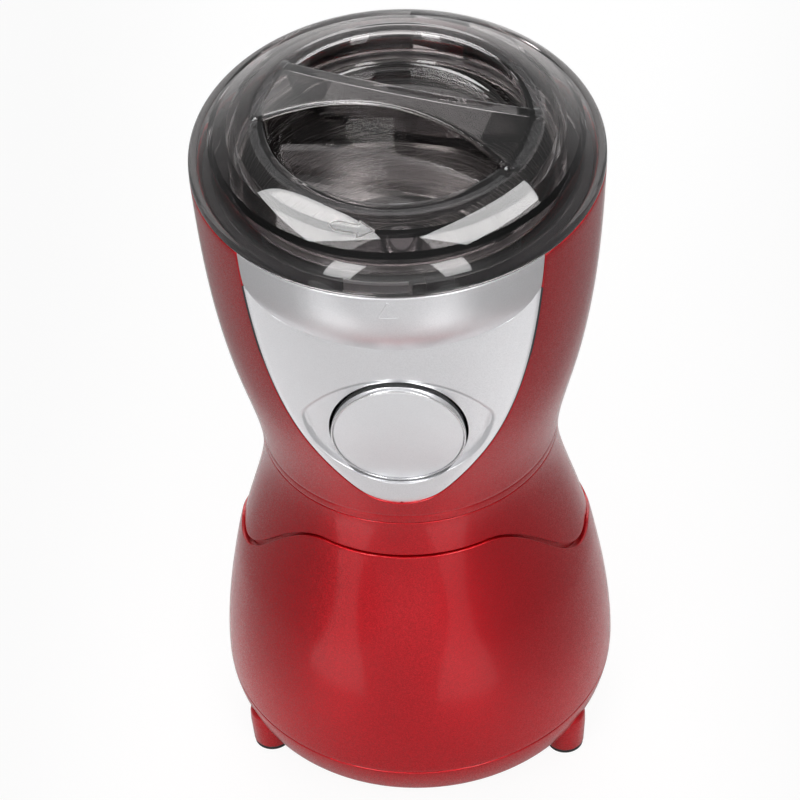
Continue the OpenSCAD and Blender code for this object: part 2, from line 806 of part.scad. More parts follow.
// Ramp that presses the interlock rod down as the lid turns
module interlock_cam() {
    run = rod_y * lock_angle * PI / 180;
    low = rod_top_z + cam_gap - rod_travel;
    toe = -rod_r - cam_gap;
    intersection() {
        ring(lock_ring_in + 0.4, lid_ring_r + 0.1, low - 1, crown_z - lid_wall / 2);
        translate([lid_ring_r - 1, 0, 0]) rotate([90, 0, 90])
            linear_extrude(height = lock_ring_in - lid_ring_r + 2)
            polygon([[toe - cam_heel, low], [toe, low], [toe + run, low + rod_travel],
                [toe + run, crown_z], [toe - cam_heel, crown_z]]);
        dome_solid(lid_wall / 2, low - 1);
    }
}

module lid_seal() color([0.85, 0.85, 0.83]) on_legs()
    ring(lid_ring_r - 0.2, lid_ring_in - 0.2, seal_seat_z, seal_seat_z + seal_t);

// ---- button and switch ---------------------------------------------------------------

module pulse_button() color(satin_silver) on_legs() {
    button_disc(cap_r, button_face_y, button_face_y - cap_t);
    difference() {
        button_disc(cap_r - 0.6, button_face_y - cap_t + skin, ring_back_y - 1);
        button_disc(cap_r - 2, button_face_y - cap_t + 1, ring_back_y - 2);
    }
    button_disc(stem_r, button_face_y - cap_t + skin, stem_end_y);
}

module button_ring() color([0.9, 0.9, 0.92]) on_legs()
    difference() {
        button_disc(button_r, button_face_y + 0.25, ring_back_y);
        button_disc(button_r - button_ring_t, button_face_y + 1, ring_back_y - 1);
    }

module button_guide() color(black_plastic) on_legs() {
    difference() {
        union() {
            button_disc(sleeve_r, dish_face_y - 0.5, guide_back_y - guide_back_t);
            button_disc(guide_r, guide_front_y, guide_back_y - guide_back_t);
        }
        button_disc(hole_r, far, guide_back_y);
        button_disc(stem_r + run_gap, far, 0);
    }
    arm_x = switch_w / 2 + slip_gap;
    for (s = [0, 1]) mirror([s, 0, 0])
        block(arm_x, arm_x + arm_t, -guide_back_y + guide_back_t - skin, -switch_back_y,
            button_z - arm_h / 2, button_z + arm_h / 2);
}

module button_spring() color(steel) on_legs()
    translate([0, -guide_back_y - 0.05, button_z]) rotate([90, 0, 0])
    coil_spring(button_coil_r, 0.5, button_face_y - cap_t - guide_back_y - 0.1, 5);

module switch_body() color([0.15, 0.15, 0.17]) on_legs()
    difference() {
        block(-switch_w / 2, switch_w / 2, -switch_front_y, -switch_back_y,
            button_z - switch_h / 2, button_z + switch_h / 2);
        button_disc(plunger_r + run_gap, far, plunger_end_y - button_travel - 0.8);
    }

module switch_plunger() color([0.75, 0.2, 0.15]) on_legs()
    button_disc(plunger_r, stem_end_y - body_gap, plunger_end_y);

// ---- interlock -----------------------------------------------------------------------

module interlock_rod() color(black_plastic) on_legs() {
    rod_at(0, rod_y, rod_r, rod_end_z, rod_top_z);
    rod_at(0, rod_y, rod_collar_r, rod_collar_z, rod_collar_z + rod_collar_t);
}

module interlock_spring() color(steel) on_legs()
    translate([0, rod_y, bowl_z + 0.05])
    coil_spring(1.95, 0.25, rod_collar_z - bowl_z - 0.1, 6);

module interlock_switch() color([0.15, 0.15, 0.17]) on_legs()
    difference() {
        union() {
            block(-interlock_w / 2, interlock_w / 2, interlock_in_y, rod_y - 1,
                interlock_top_z - interlock_h, interlock_top_z);
            rod_at(0, rod_y - 1, rod_r + 0.9, rod_end_z - rod_travel - 1,
                interlock_top_z);
            block(-interlock_w / 2, -interlock_w / 2 + 3, interlock_in_y, interlock_in_y + 4,
                interlock_top_z - 1, support_z);
            block(interlock_w / 2 - 3, interlock_w / 2, interlock_in_y, interlock_in_y + 4,
                interlock_top_z - 1, support_z);
        }
        rod_at(0, rod_y, rod_r + run_gap, rod_end_z - rod_travel - 0.5, interlock_top_z + 1);
    }

// ---- bottom cover, legs and cord inlet -----------------------------------------------

module bottom_cover() color(shell_red) on_legs()
    difference() {
        union() {
            rotate_extrude() difference() {
                polygon(concat([[0, 0]], base_line(0, cover_z - seam_gap / 2),
                    [[0, cover_z - seam_gap / 2]]));
                polygon(concat([[0, cover_t]], inset(base_line(cover_t, cover_z), wall),
                    [[0, cover_z]]));
            }
            ring(base_r(cover_z) - wall - slip_gap,
                base_r(cover_z) - wall - slip_gap - cover_rim_t, cover_t - skin,
                cover_z + cover_rim_h);
        }
        for (a = base_screw_angles) rotate(a) {
            rod_at(base_screw_ring_r, 0, base_screw_r + slip_gap, -1, cover_t + 1);
            rod_at(base_screw_ring_r, 0, screw_head_r + slip_gap, -1, 0.8);
            block(base_screw_ring_r, far, -base_rib_w / 2 - slip_gap,
                base_rib_w / 2 + slip_gap, cover_z + 1, cover_z + far);
        }
        for (i = [-slot_rows:slot_rows])
            let (half = sqrt(pow(slots_r, 2) - pow(i * slot_step, 2)))
            translate([0, i * slot_step, -1]) {
                translate([-half, -slot_w / 2, 0]) cube([2 * half, slot_w, cover_t + 2]);
            }
    }

module base_screws() color(steel) on_legs()
    for (a = base_screw_angles) rotate(a)
        translate([base_screw_ring_r, 0, 0.8]) mirror([0, 0, 1])
        pan_screw(base_screw_r, base_screw_l, screw_head_r, 0.7);

// Legs, cut to the rounded flank of the cover
module legs() color(shell_red)
    for (a = leg_angles) rotate(a) difference() {
        union() {
            translate([leg_ring_r, 0, pad_t - 0.2])
                cylinder(r1 = leg_foot_r, r2 = leg_top_r, h = leg_h - pad_t + 0.2);
            rod_at(leg_ring_r, 0, leg_top_r, leg_h, leg_h + 4);
        }
        translate([0, 0, leg_h])
            turned_solid([for (z = levels(0, 5)) [base_r(z), z]], slip_gap / 3);
        translate([leg_ring_r, 0, -1]) cylinder(r = pad_r + slip_gap, h = pad_t + 1);
    }

module foot_pads() color([0.06, 0.06, 0.06])
    for (a = leg_angles) rotate(a) translate([leg_ring_r, 0, 0])
        rotate_extrude() polygon([[0, 0], [pad_r - 0.4, 0], [pad_r, 0.4], [pad_r, pad_t],
            [0, pad_t]]);

module cord_bushing() color(black_plastic) on_legs()
    translate([0, bushing_out_y, cord_z]) rotate([90, 0, 0]) difference() {
        union() {
            cylinder(r = bushing_body_r, h = bushing_l);
            cylinder(r1 = bushing_flange_r - 0.5, r2 = bushing_flange_r, h = 0.5);
            translate([0, 0, 0.5]) cylinder(r = bushing_flange_r, h = bushing_flange_t - 0.5);
            translate([0, 0, bushing_l - bushing_barb_l])
                cylinder(r = bushing_body_r + bushing_barb, h = bushing_barb_l);
        }
        translate([0, 0, -1]) cylinder(r = cord_r, h = bushing_l + 2);
    }

// ---- motor ---------------------------------------------------------------------------

module motor_shaft() color(steel) on_legs() {
    rod_at(0, 0, shaft_r, shaft_low_z, shaft_top_z);
    difference() {
        rod_at(0, 0, shaft_r + 2, hub_z, blade_z);
        rod_at(0, 0, shaft_r - 1, hub_z - 1, blade_z + 1);
    }
}

module bolt_holes()
    for (x = [-bolt_x, bolt_x])
        rod_at(x, 0, bolt_r + slip_gap / 3, 0, far * 2);

module bearing_plate(z)
    intersection() {
        block(-stator_w / 2, stator_w / 2, -bracket_w / 2, bracket_w / 2, z, z + bracket_t);
        rod_at(0, 0, stator_w / 2 + 0.5, z, z + bracket_t);
    }

module upper_bracket() color(iron) on_legs()
    difference() {
        union() {
            block(-motor_post_x - damper_r, motor_post_x + damper_r, -bracket_w / 2, bracket_w / 2,
                upper_bracket_z, upper_bracket_z + bracket_t);
            for (s = [0, 1]) mirror([s, 0, 0])
                block(bracket_leg_x, stator_w / 2, -bracket_w / 2, bracket_w / 2, stator_top_z,
                    upper_bracket_z + bracket_t);
        }
        rod_at(0, 0, bush_r + slip_gap / 3, 0, far * 2);
        bolt_holes();
        for (x = [-motor_post_x, motor_post_x])
            rod_at(x, 0, damper_neck_r, 0, far * 2);
    }

module lower_bracket() color(iron) on_legs()
    difference() {
        union() {
            bearing_plate(lower_bracket_z - bracket_t);
            for (s = [0, 1]) mirror([s, 0, 0])
                block(bracket_leg_x, stator_w / 2, -bracket_w / 2, bracket_w / 2,
                    lower_bracket_z - bracket_t, stator_z);
        }
        rod_at(0, 0, bush_r + slip_gap / 3, 0, far * 2);
        bolt_holes();
        translate([-far, 0, brush_z]) rotate([0, 90, 0])
            cylinder(r = holder_r + slip_gap / 3, h = 2 * far);
    }

module bush(z_mid) color(brass) on_legs()
    ring(bush_r, shaft_r + run_gap, z_mid - bush_l / 2, z_mid + bush_l / 2);
module upper_bush() bush(upper_bracket_z + bracket_t / 2);
module lower_bush() bush(lower_bracket_z - bracket_t / 2);

module stator_core() color(iron) on_legs()
    difference() {
        translate([0, 0, stator_z]) linear_extrude(height = stator_h) difference() {
            intersection() {
                square([stator_w, stator_d], center = true);
                circle(r = stator_corner_r);
            }
            circle(r = bore_r);
            for (x = [-1, 1], y = [-1, 1])
                translate([x * slot_x, y * slot_y]) circle(r = slot_r);
        }
        bolt_holes();
    }

// Field coils: two saddles through the stator's slots
module stator_coils() color(copper) on_legs()
    for (s = [-1, 1]) {
        for (x = [-1, 1])
            rod_at(x * slot_x, s * slot_y, slot_r - 0.6, stator_z - 1, stator_top_z + 1);
        for (z = [stator_z - coil_h - 0.2, stator_top_z + 0.2])
            rotate(90 * s) ring_sector(coil_out_r, coil_in_r, z, z + coil_h, coil_angle);
    }

module armature_core() color(iron) on_legs()
    difference() {
        rod_at(0, 0, armature_r, stator_z, stator_top_z);
        for (i = [0:11]) rotate(30 * i)
            rod_at(armature_r, 0, 1.3, stator_z - 1, stator_top_z + 1);
        rod_at(0, 0, shaft_r, 0, 2 * far);
    }

// Rounded end of the armature's windings, pointing up from z = 0
module winding_end()
    rotate_extrude() polygon([[shaft_r + 0.6, 0.1], [winding_r, 0.1], [winding_r, winding_h * 0.5],
        [winding_r - 1.2, winding_h * 0.85], [winding_r - 3.5, winding_h],
        [shaft_r + 1.5, winding_h], [shaft_r + 0.6, winding_h - 1]]);

module armature_winding() color(copper) on_legs() {
    translate([0, 0, stator_top_z]) winding_end();
    translate([0, 0, stator_z]) mirror([0, 0, 1]) winding_end();
}

module commutator() color(copper) on_legs()
    difference() {
        rod_at(0, 0, commutator_r, commutator_z, commutator_z + commutator_h);
        for (i = [0:11]) rotate(30 * i + 15)
            block(commutator_r - 0.8, commutator_r + 1, -0.3, 0.3, commutator_z - 1,
                commutator_z + commutator_h + 1);
        rod_at(0, 0, shaft_r, 0, 2 * far);
    }

module brush_holders() color(black_plastic) on_legs()
    for (s = [0, 1]) mirror([s, 0, 0]) difference() {
        translate([holder_in_x, 0, brush_z]) rotate([0, 90, 0])
            cylinder(r = holder_r, h = holder_out_x - holder_in_x);
        block(holder_in_x - 1, holder_out_x - 1.4, -brush_w / 2 - 0.15, brush_w / 2 + 0.15,
            brush_z - brush_w / 2 - 0.15, brush_z + brush_w / 2 + 0.15);
        rod_at(bolt_x, 0, bolt_r + body_gap, 0, far * 2);
    }

module carbon_brushes() color([0.12, 0.12, 0.12]) on_legs()
    for (s = [0, 1]) mirror([s, 0, 0])
        block(commutator_r + brush_gap, commutator_r + brush_gap + brush_l, -brush_w / 2,
            brush_w / 2, brush_z - brush_w / 2, brush_z + brush_w / 2);

module brush_springs() color(steel) on_legs()
    for (s = [0, 1]) mirror([s, 0, 0])
        translate([commutator_r + brush_gap + brush_l + 0.1, 0, brush_z]) rotate([0, 90, 0])
        coil_spring(1.5, 0.3, bolt_x - bolt_r - commutator_r - brush_gap - brush_l - 0.5, 4);

module cooling_fan() color([0.2, 0.2, 0.22]) on_legs()
    difference() {
        union() {
            rod_at(0, 0, fan_r, fan_z, fan_z + 1.4);
            rod_at(0, 0, shaft_r + 2.5, fan_z, fan_z + fan_h);
            for (i = [0:8]) rotate(40 * i)
                block(shaft_r + 2, fan_r - 0.5, -0.6, 0.6, fan_z, fan_z + fan_h);
        }
        rod_at(0, 0, shaft_r, 0, 2 * far);
    }

module motor_bolts() color(steel) on_legs()
    for (x = [-bolt_x, bolt_x]) {
        rod_at(x, 0, bolt_r, lower_bracket_z - bracket_t - skin,
            upper_bracket_z + bracket_t + 0.5);
        rod_at(x, 0, bolt_r * 1.8, lower_bracket_z - bracket_t - bolt_head_h,
            lower_bracket_z - bracket_t);
    }

// Rubber grommets between the motor's upper bracket and the posts
module motor_dampers() color(black_plastic) on_legs()
    for (x = [-motor_post_x, motor_post_x]) translate([x, 0, 0]) difference() {
        union() {
            rod_at(0, 0, damper_r, upper_bracket_z + bracket_t, post_foot_z);
            rod_at(0, 0, damper_neck_r - 0.05, upper_bracket_z - damper_t, post_foot_z);
            rod_at(0, 0, damper_r, upper_bracket_z - damper_t, upper_bracket_z);
        }
        rod_at(0, 0, screw_r + slip_gap, 0, 2 * far);
    }

module damper_screws() color(steel) on_legs()
    for (x = [-motor_post_x, motor_post_x])
        translate([x, 0, upper_bracket_z - damper_t]) mirror([0, 0, 1])
        pan_screw(screw_r, 2 * damper_t + bracket_t + damper_screw_l - 1, screw_head_r,
            screw_head_h);

module blade() color(steel) on_legs()
    difference() {
        union() {
            rod_at(0, 0, blade_w / 2, blade_z, blade_z + blade_t);
            block(-blade_r * 0.68, blade_r * 0.68, -blade_w / 2 + 1, blade_w / 2 - 1, blade_z,
                blade_z + blade_t);
            for (s = [0, 1]) rotate(180 * s)
                translate([blade_r * 0.68 - 0.4, 0, blade_z])
                rotate([0, s == 0 ? -tip_angle : -tip_angle / 2, 0])
                linear_extrude(height = blade_t)
                polygon([[0, -blade_w / 2 + 1], [blade_r * 0.32, -blade_w / 2 + 2.6],
                    [blade_r * 0.33, 0], [0, blade_w / 2 - 1]]);
        }
        rod_at(0, 0, shaft_r, 0, 3 * far);
    }

module blade_nut() color(steel) on_legs()
    difference() {
        union() {
            translate([0, 0, blade_z + blade_t]) cylinder(r = 5.6, h = nut_h - 1, $fn = 6);
            rod_at(0, 0, 4.6, blade_z + blade_t, blade_z + blade_t + nut_h);
        }
        rod_at(0, 0, shaft_r, 0, shaft_top_z);
    }

lid();
lid_seal();
grinding_bowl();
bowl_surround();
blade();
blade_nut();
shaft_seal();
upper_housing();
front_panel();
pulse_button();
button_ring();
button_guide();
button_spring();
switch_body();
switch_plunger();
bowl_support();
support_screws();
interlock_rod();
interlock_spring();
interlock_switch();
waist_shell();
base_shell();
bottom_cover();
base_screws();
legs();
foot_pads();
cord_bushing();
motor_shaft();
upper_bracket();
lower_bracket();
upper_bush();
lower_bush();
stator_core();
stator_coils();
armature_core();
armature_winding();
commutator();
brush_holders();
carbon_brushes();
brush_springs();
cooling_fan();
motor_bolts();
motor_dampers();
damper_screws();
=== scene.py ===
"""An electric spice grinder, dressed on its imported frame.

The grinder is an hourglass of red flake paint on three legs. A silver shield with a round pulse
button is set into its front, and a smoke-coloured dome with two finger scoops and a grip closes the
steel bowl. Every piece is shaped on a bench in millimetres, with heights counted from the
underside of the body, and is then set down in the frame in metres.
"""

import json
import logging
import math
from collections.abc import Callable, Iterator, Sequence
from contextlib import contextmanager
from dataclasses import dataclass, field
from enum import Enum

import bmesh
import bpy
import numpy as np
from mathutils import Matrix, Vector


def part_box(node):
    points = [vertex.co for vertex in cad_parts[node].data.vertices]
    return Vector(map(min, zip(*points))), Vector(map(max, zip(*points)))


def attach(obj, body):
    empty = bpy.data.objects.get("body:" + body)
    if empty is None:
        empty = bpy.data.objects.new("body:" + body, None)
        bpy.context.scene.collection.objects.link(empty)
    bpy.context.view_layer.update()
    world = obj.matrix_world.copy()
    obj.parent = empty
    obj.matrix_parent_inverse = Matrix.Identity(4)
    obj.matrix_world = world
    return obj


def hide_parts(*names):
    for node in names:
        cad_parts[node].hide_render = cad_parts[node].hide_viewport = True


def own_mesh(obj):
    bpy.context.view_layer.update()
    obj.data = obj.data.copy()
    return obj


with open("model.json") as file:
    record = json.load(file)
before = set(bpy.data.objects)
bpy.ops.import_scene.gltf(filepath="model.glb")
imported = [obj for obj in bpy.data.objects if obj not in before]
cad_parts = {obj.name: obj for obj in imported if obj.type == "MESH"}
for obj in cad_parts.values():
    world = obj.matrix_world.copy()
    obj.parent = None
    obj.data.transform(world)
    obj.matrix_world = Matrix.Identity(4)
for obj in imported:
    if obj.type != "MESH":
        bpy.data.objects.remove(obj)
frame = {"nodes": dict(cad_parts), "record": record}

LOG = logging.getLogger("spice_grinder")
MM = 0.001
BODY_LIFT = float(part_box("bottom_cover")[0].z)
Corner = tuple[float, float]
Section = list[Corner]
Place = tuple[float, float, float]
Colour = tuple[float, float, float]
Socket = bpy.types.NodeSocket
WHITE = (1.0, 1.0, 1.0, 1.0)


class Axis(Enum):
    """The axis that a section is turned about."""

    UP = (0.0, 0.0, 1.0)
    BACK = (0.0, 1.0, 0.0)


# ---- outlines ---------------------------------------------------------------------------------


def hermite(z: np.ndarray, low: Place, high: Place) -> np.ndarray:
    """Returns the radius on a cubic between two rings.

    Args:
        z: Heights.
        low: Height, radius and slope of the lower ring.
        high: Height, radius and slope of the upper ring.

    Returns:
        A radius for each height.
    """
    span = high[0] - low[0]
    t = (z - low[0]) / span
    return (low[1] * (2 * t**3 - 3 * t**2 + 1) + low[2] * span * (t**3 - 2 * t**2 + t)
            + high[1] * (3 * t**2 - 2 * t**3) + high[2] * span * (t**3 - t**2))


def smoothstep(t: np.ndarray) -> np.ndarray:
    """Returns a soft step from 0 to 1 while t goes from 0 to 1."""
    t = np.clip(t, 0.0, 1.0)
    return t * t * (3 - 2 * t)


def soft_max(a: np.ndarray, b: np.ndarray, soft: float) -> np.ndarray:
    """Returns the larger of two heights, rounded over a band where they are close."""
    h = np.clip(0.5 + 0.5 * (a - b) / soft, 0.0, 1.0)
    return b + (a - b) * h + soft * h * (1 - h)


def rounded(corners: Sequence[Corner], radii: Sequence[float], steps: int = 5,
            closed: bool = True) -> Section:
    """Rounds the corners of a section.

    Args:
        corners: Corners in order, as (radius, height).
        radii: Fillet radius of each corner, 0 for a sharp one.
        steps: Straight runs in a fillet.
        closed: Whether the last corner joins the first.

    Returns:
        The section with its fillets.
    """
    out: Section = []
    n = len(corners)
    for i, (corner, radius) in enumerate(zip(corners, radii)):
        here = np.array(corner, float)
        if radius <= 0 or (not closed and i in (0, n - 1)):
            out.append((float(here[0]), float(here[1])))
            continue
        back = np.array(corners[i - 1], float) - here
        ahead = np.array(corners[(i + 1) % n], float) - here
        back_l, ahead_l = np.linalg.norm(back), np.linalg.norm(ahead)
        back, ahead = back / back_l, ahead / ahead_l
        half = 0.5 * math.acos(float(np.clip(back @ ahead, -1.0, 1.0)))
        reach = min(radius / math.tan(half), 0.49 * back_l, 0.49 * ahead_l)
        radius = reach * math.tan(half)
        middle = here + (back + ahead) / np.linalg.norm(back + ahead) * radius / math.sin(half)
        first, last = here + back * reach - middle, here + ahead * reach - middle
        start = math.atan2(first[1], first[0])
        turn = math.remainder(math.atan2(last[1], last[0]) - start, 2 * math.pi)
        for k in range(steps + 1):
            a = start + turn * k / steps
            out.append((float(middle[0] + radius * math.cos(a)),
                        float(middle[1] + radius * math.sin(a))))
    return out


def evenly(line: np.ndarray, count: int) -> np.ndarray:
    """Returns points at equal steps along a line.

    Args:
        line: Points (x, z) on the line.
        count: Number of points wanted.

    Returns:
        Points (x, z), with both ends.
    """
    run = np.concatenate([[0], np.cumsum(np.linalg.norm(np.diff(line, axis=0), axis=1))])
    want = np.linspace(0, run[-1], count)
    return np.stack([np.interp(want, run, line[:, k]) for k in (0, 1)], -1)


def mirrored(half: np.ndarray) -> np.ndarray:
    """Returns a right half outline (x, z) with its left half, closed."""
    return np.vstack([half, half[-2:0:-1] * (-1, 1), half[:1]])


def pairs(radius: np.ndarray, z: np.ndarray) -> Section:
    """Returns radii and heights as the corners of a section."""
    return [(float(r), float(h)) for r, h in zip(radius, z)]


def around(azimuth: np.ndarray, radius: np.ndarray, z: np.ndarray) -> np.ndarray:
    """Returns places at azimuths counted from the front towards the right."""
    return np.stack(np.broadcast_arrays(radius * np.sin(azimuth), -radius * np.cos(azimuth), z),
                    -1)


def turned(angle: np.ndarray, radius: np.ndarray, z: np.ndarray) -> np.ndarray:
    """Returns places at angles counted from +X about the upright axis."""
    return np.stack(np.broadcast_arrays(radius * np.cos(angle), radius * np.sin(angle), z), -1)


def aimed(place: Place, aim: Place, roll: float) -> Matrix:
    """Returns the matrix of a lamp or camera that faces a point, rolled by degrees."""
    turn = (Vector(aim) - Vector(place)).to_track_quat("-Z", "Y").to_matrix().to_4x4()
    return Matrix.Translation(place) @ turn @ Matrix.Rotation(math.radians(roll), 4, "Z")


@dataclass(frozen=True)
class Body:
    """Sizes and outlines that the shells share, in millimetres."""

    belly_r: float = 50.0
    foot_in: float = 2.9
    belly_z: float = 11.0
    flank_r: float = 46.1
    flank_z: float = 45.0
    flank_slope: float = -0.18
    waist_r: float = 37.1
    waist_z: float = 84.0
    chest_r: float = 43.2
    chest_z: float = 115.7
    chest_slope: float = 0.235
    top_r: float = 50.0
    top_z: float = 173.2
    top_slope: float = 0.05
    wall: float = 2.2
    proud: float = 0.6
    seam_gap: float = 0.18
    slip_gap: float = 0.15
    cover_z: float = 9.3
    waist_seam_z: float = 86.8
    wave_high_z: float = 76.0
    wave_side_z: float = 52.0
    wave_back_z: float = 46.5
    wave_flat_x: float = 20.0
    wave_end_x: float = 45.0
    wave_lean: float = 0.75
    wave_back_y: float = 15.0
    leg_h: float = 8.5

    def body(self, z: np.ndarray | float) -> np.ndarray:
        """Returns the radius of the waist shell and the upper housing.

        Args:
            z: Heights.

        Returns:
            A radius for each height.
        """
        z = np.asarray(z, float)
        low = hermite(z, (self.flank_z, self.flank_r - self.proud, self.flank_slope),
                      (self.waist_z, self.waist_r, 0.0))
        mid = hermite(z, (self.waist_z, self.waist_r, 0.0),
                      (self.chest_z, self.chest_r, self.chest_slope))
        high = hermite(z, (self.chest_z, self.chest_r, self.chest_slope),
                       (self.top_z, self.top_r, self.top_slope))
        return np.where(z < self.waist_z, low, np.where(z < self.chest_z, mid, high))

    def base(self, z: np.ndarray | float) -> np.ndarray:
        """Returns the radius of the bottom cover and the base shell.

        Args:
            z: Heights.

        Returns:
            A radius for each height.
        """
        z = np.asarray(z, float)
        foot = self.belly_r - self.foot_in * np.clip(1 - z / self.belly_z, 0, None) ** 2
        flank = hermite(z, (self.belly_z, self.belly_r, 0.0),
                        (self.flank_z, self.flank_r, self.flank_slope))
        return np.where(z < self.belly_z, foot,
                        np.where(z < self.flank_z, flank, self.body(z) + self.proud))

    def wave(self, x: np.ndarray) -> np.ndarray:
        """Returns the height of the base shell's wavy edge.

        Args:
            x: Distances from the middle.

        Returns:
            A height for each distance.
        """
        t = (np.abs(x) - self.wave_end_x) / (self.wave_flat_x - self.wave_end_x)
        lean = np.clip(t, 0.0, 1.0) ** self.wave_lean
        return self.wave_side_z + (self.wave_high_z - self.wave_side_z) * smoothstep(lean)

    def wave_at(self, azimuth: np.ndarray, outline: Callable) -> np.ndarray:
        """Returns the height of the wavy edge at azimuths counted from the front.

        Args:
            azimuth: Angles from the front, in radians.
            outline: The shell's radius for a height.

        Returns:
            A height for each azimuth.
        """
        z = np.full_like(azimuth, self.wave_side_z)
        for _ in range(40):
            z = 0.5 * z + 0.5 * self.wave(outline(z) * np.sin(azimuth))
        behind = -outline(self.wave_side_z) * np.cos(azimuth) / self.wave_back_y
        back = self.wave_side_z + (self.wave_back_z - self.wave_side_z) * smoothstep(behind)
        return np.where(behind < 0, z, back)


@dataclass(frozen=True)
class Shield:
    """Sizes and outlines of the front panel and of the collar in its open top, in millimetres."""

    body: Body = field(default_factory=Body)
    face_y: float = 37.8
    face_r: float = 200.0
    thick: float = 2.2
    cheek_top_z: float = 165.0
    dish_half_w: float = 23.7
    seam: float = 0.36
    dish_z: float = 124.0
    dish_up: float = 12.2
    dish_down: float = 21.6
    dish_shallow: float = 0.4
    dish_lean: float = 0.042
    dish_fillet: float = 1.3
    hole_r: float = 16.9
    hole_z: float = 118.0
    tip_z: float = 94.6
    tip_r: float = 14.0
    pillow: float = 0.14
    collar_r: float = 49.8
    collar_z: float = 171.0
    collar_draw: float = 13.8
    collar_h: float = 26.5
    collar_power: float = 2.45

    def half_w(self, z: np.ndarray | float) -> np.ndarray:
        """Returns the half width of the window in the housing.

        Args:
            z: Heights.

        Returns:
            A half width for each height.
        """
        spare = self.body.body(z) ** 2 - self.face_y**2
        flat = np.sqrt(np.clip(spare, 0, None) / (1 - self.face_y / self.face_r))
        rounded_off = np.sqrt(2 * self.tip_r * np.clip(z - self.tip_z, 0, None))
        return -soft_max(-flat, -rounded_off, 0.8)

    def face(self, x: np.ndarray) -> np.ndarray:
        """Returns how far the panel's bowed face stands in front of the axis."""
        return self.face_y - (self.face_r - np.sqrt(self.face_r**2 - x**2))

    def collar(self, z: np.ndarray | float) -> np.ndarray:
        """Returns the radius of the rounded collar at heights z."""
        drop = np.clip((self.collar_z - np.asarray(z, float)) / self.collar_h, 0, None)
        return self.collar_r - self.collar_draw * drop**self.collar_power

    def dish(self, x: np.ndarray, z: np.ndarray) -> np.ndarray:
        """Returns the distance to the dish's edge.

        Args:
            x: Places along X.
            z: Heights.

        Returns:
            A distance for each place, below 0 inside the dish.
        """
        up = (self.dish_half_w**2 + self.dish_up**2) / (2 * self.dish_up)
        down = (self.dish_half_w**2 + self.dish_down**2) / (2 * self.dish_down)
        above = np.hypot(x, z - (self.dish_z + self.dish_up - up)) - up
        below = np.hypot(x, z - (self.dish_z - self.dish_down + down)) - down
        return soft_max(above, below, 1.2)

    def dish_depth(self, x: np.ndarray, z: np.ndarray) -> np.ndarray:
        """Returns how deep the dish lies behind the face, with a floor that leans back."""
        deep = self.dish_shallow + self.dish_lean * (self.dish_z + self.dish_up - z)
        return deep * smoothstep(-self.dish(x, z) / self.dish_fillet)

    def crease_z(self, x: np.ndarray) -> np.ndarray:
        """Returns the height at which the collar passes through the panel's face.

        Args:
            x: Places along X.

        Returns:
            A height for each place.
        """
        r = np.hypot(x, self.face(x)) - self.body.slip_gap
        drop = ((self.collar_r - r) / self.collar_draw).clip(0, None)
        return self.collar_z - self.collar_h * drop ** (1 / self.collar_power)


# ---- the bench --------------------------------------------------------------------------------


def deselect() -> None:
    """Deselects every object."""
    bpy.ops.object.select_all(action="DESELECT")


@contextmanager
def editing(obj: bpy.types.Object) -> Iterator[None]:
    """Puts one object into edit mode with all of it selected.

    Args:
        obj: The object to edit.

    Yields:
        Nothing.
    """
    deselect()
    obj.select_set(True)
    bpy.context.view_layer.objects.active = obj
    bpy.ops.object.mode_set(mode="EDIT")
    bpy.ops.mesh.select_all(action="SELECT")
    yield
    bpy.ops.object.mode_set(mode="OBJECT")


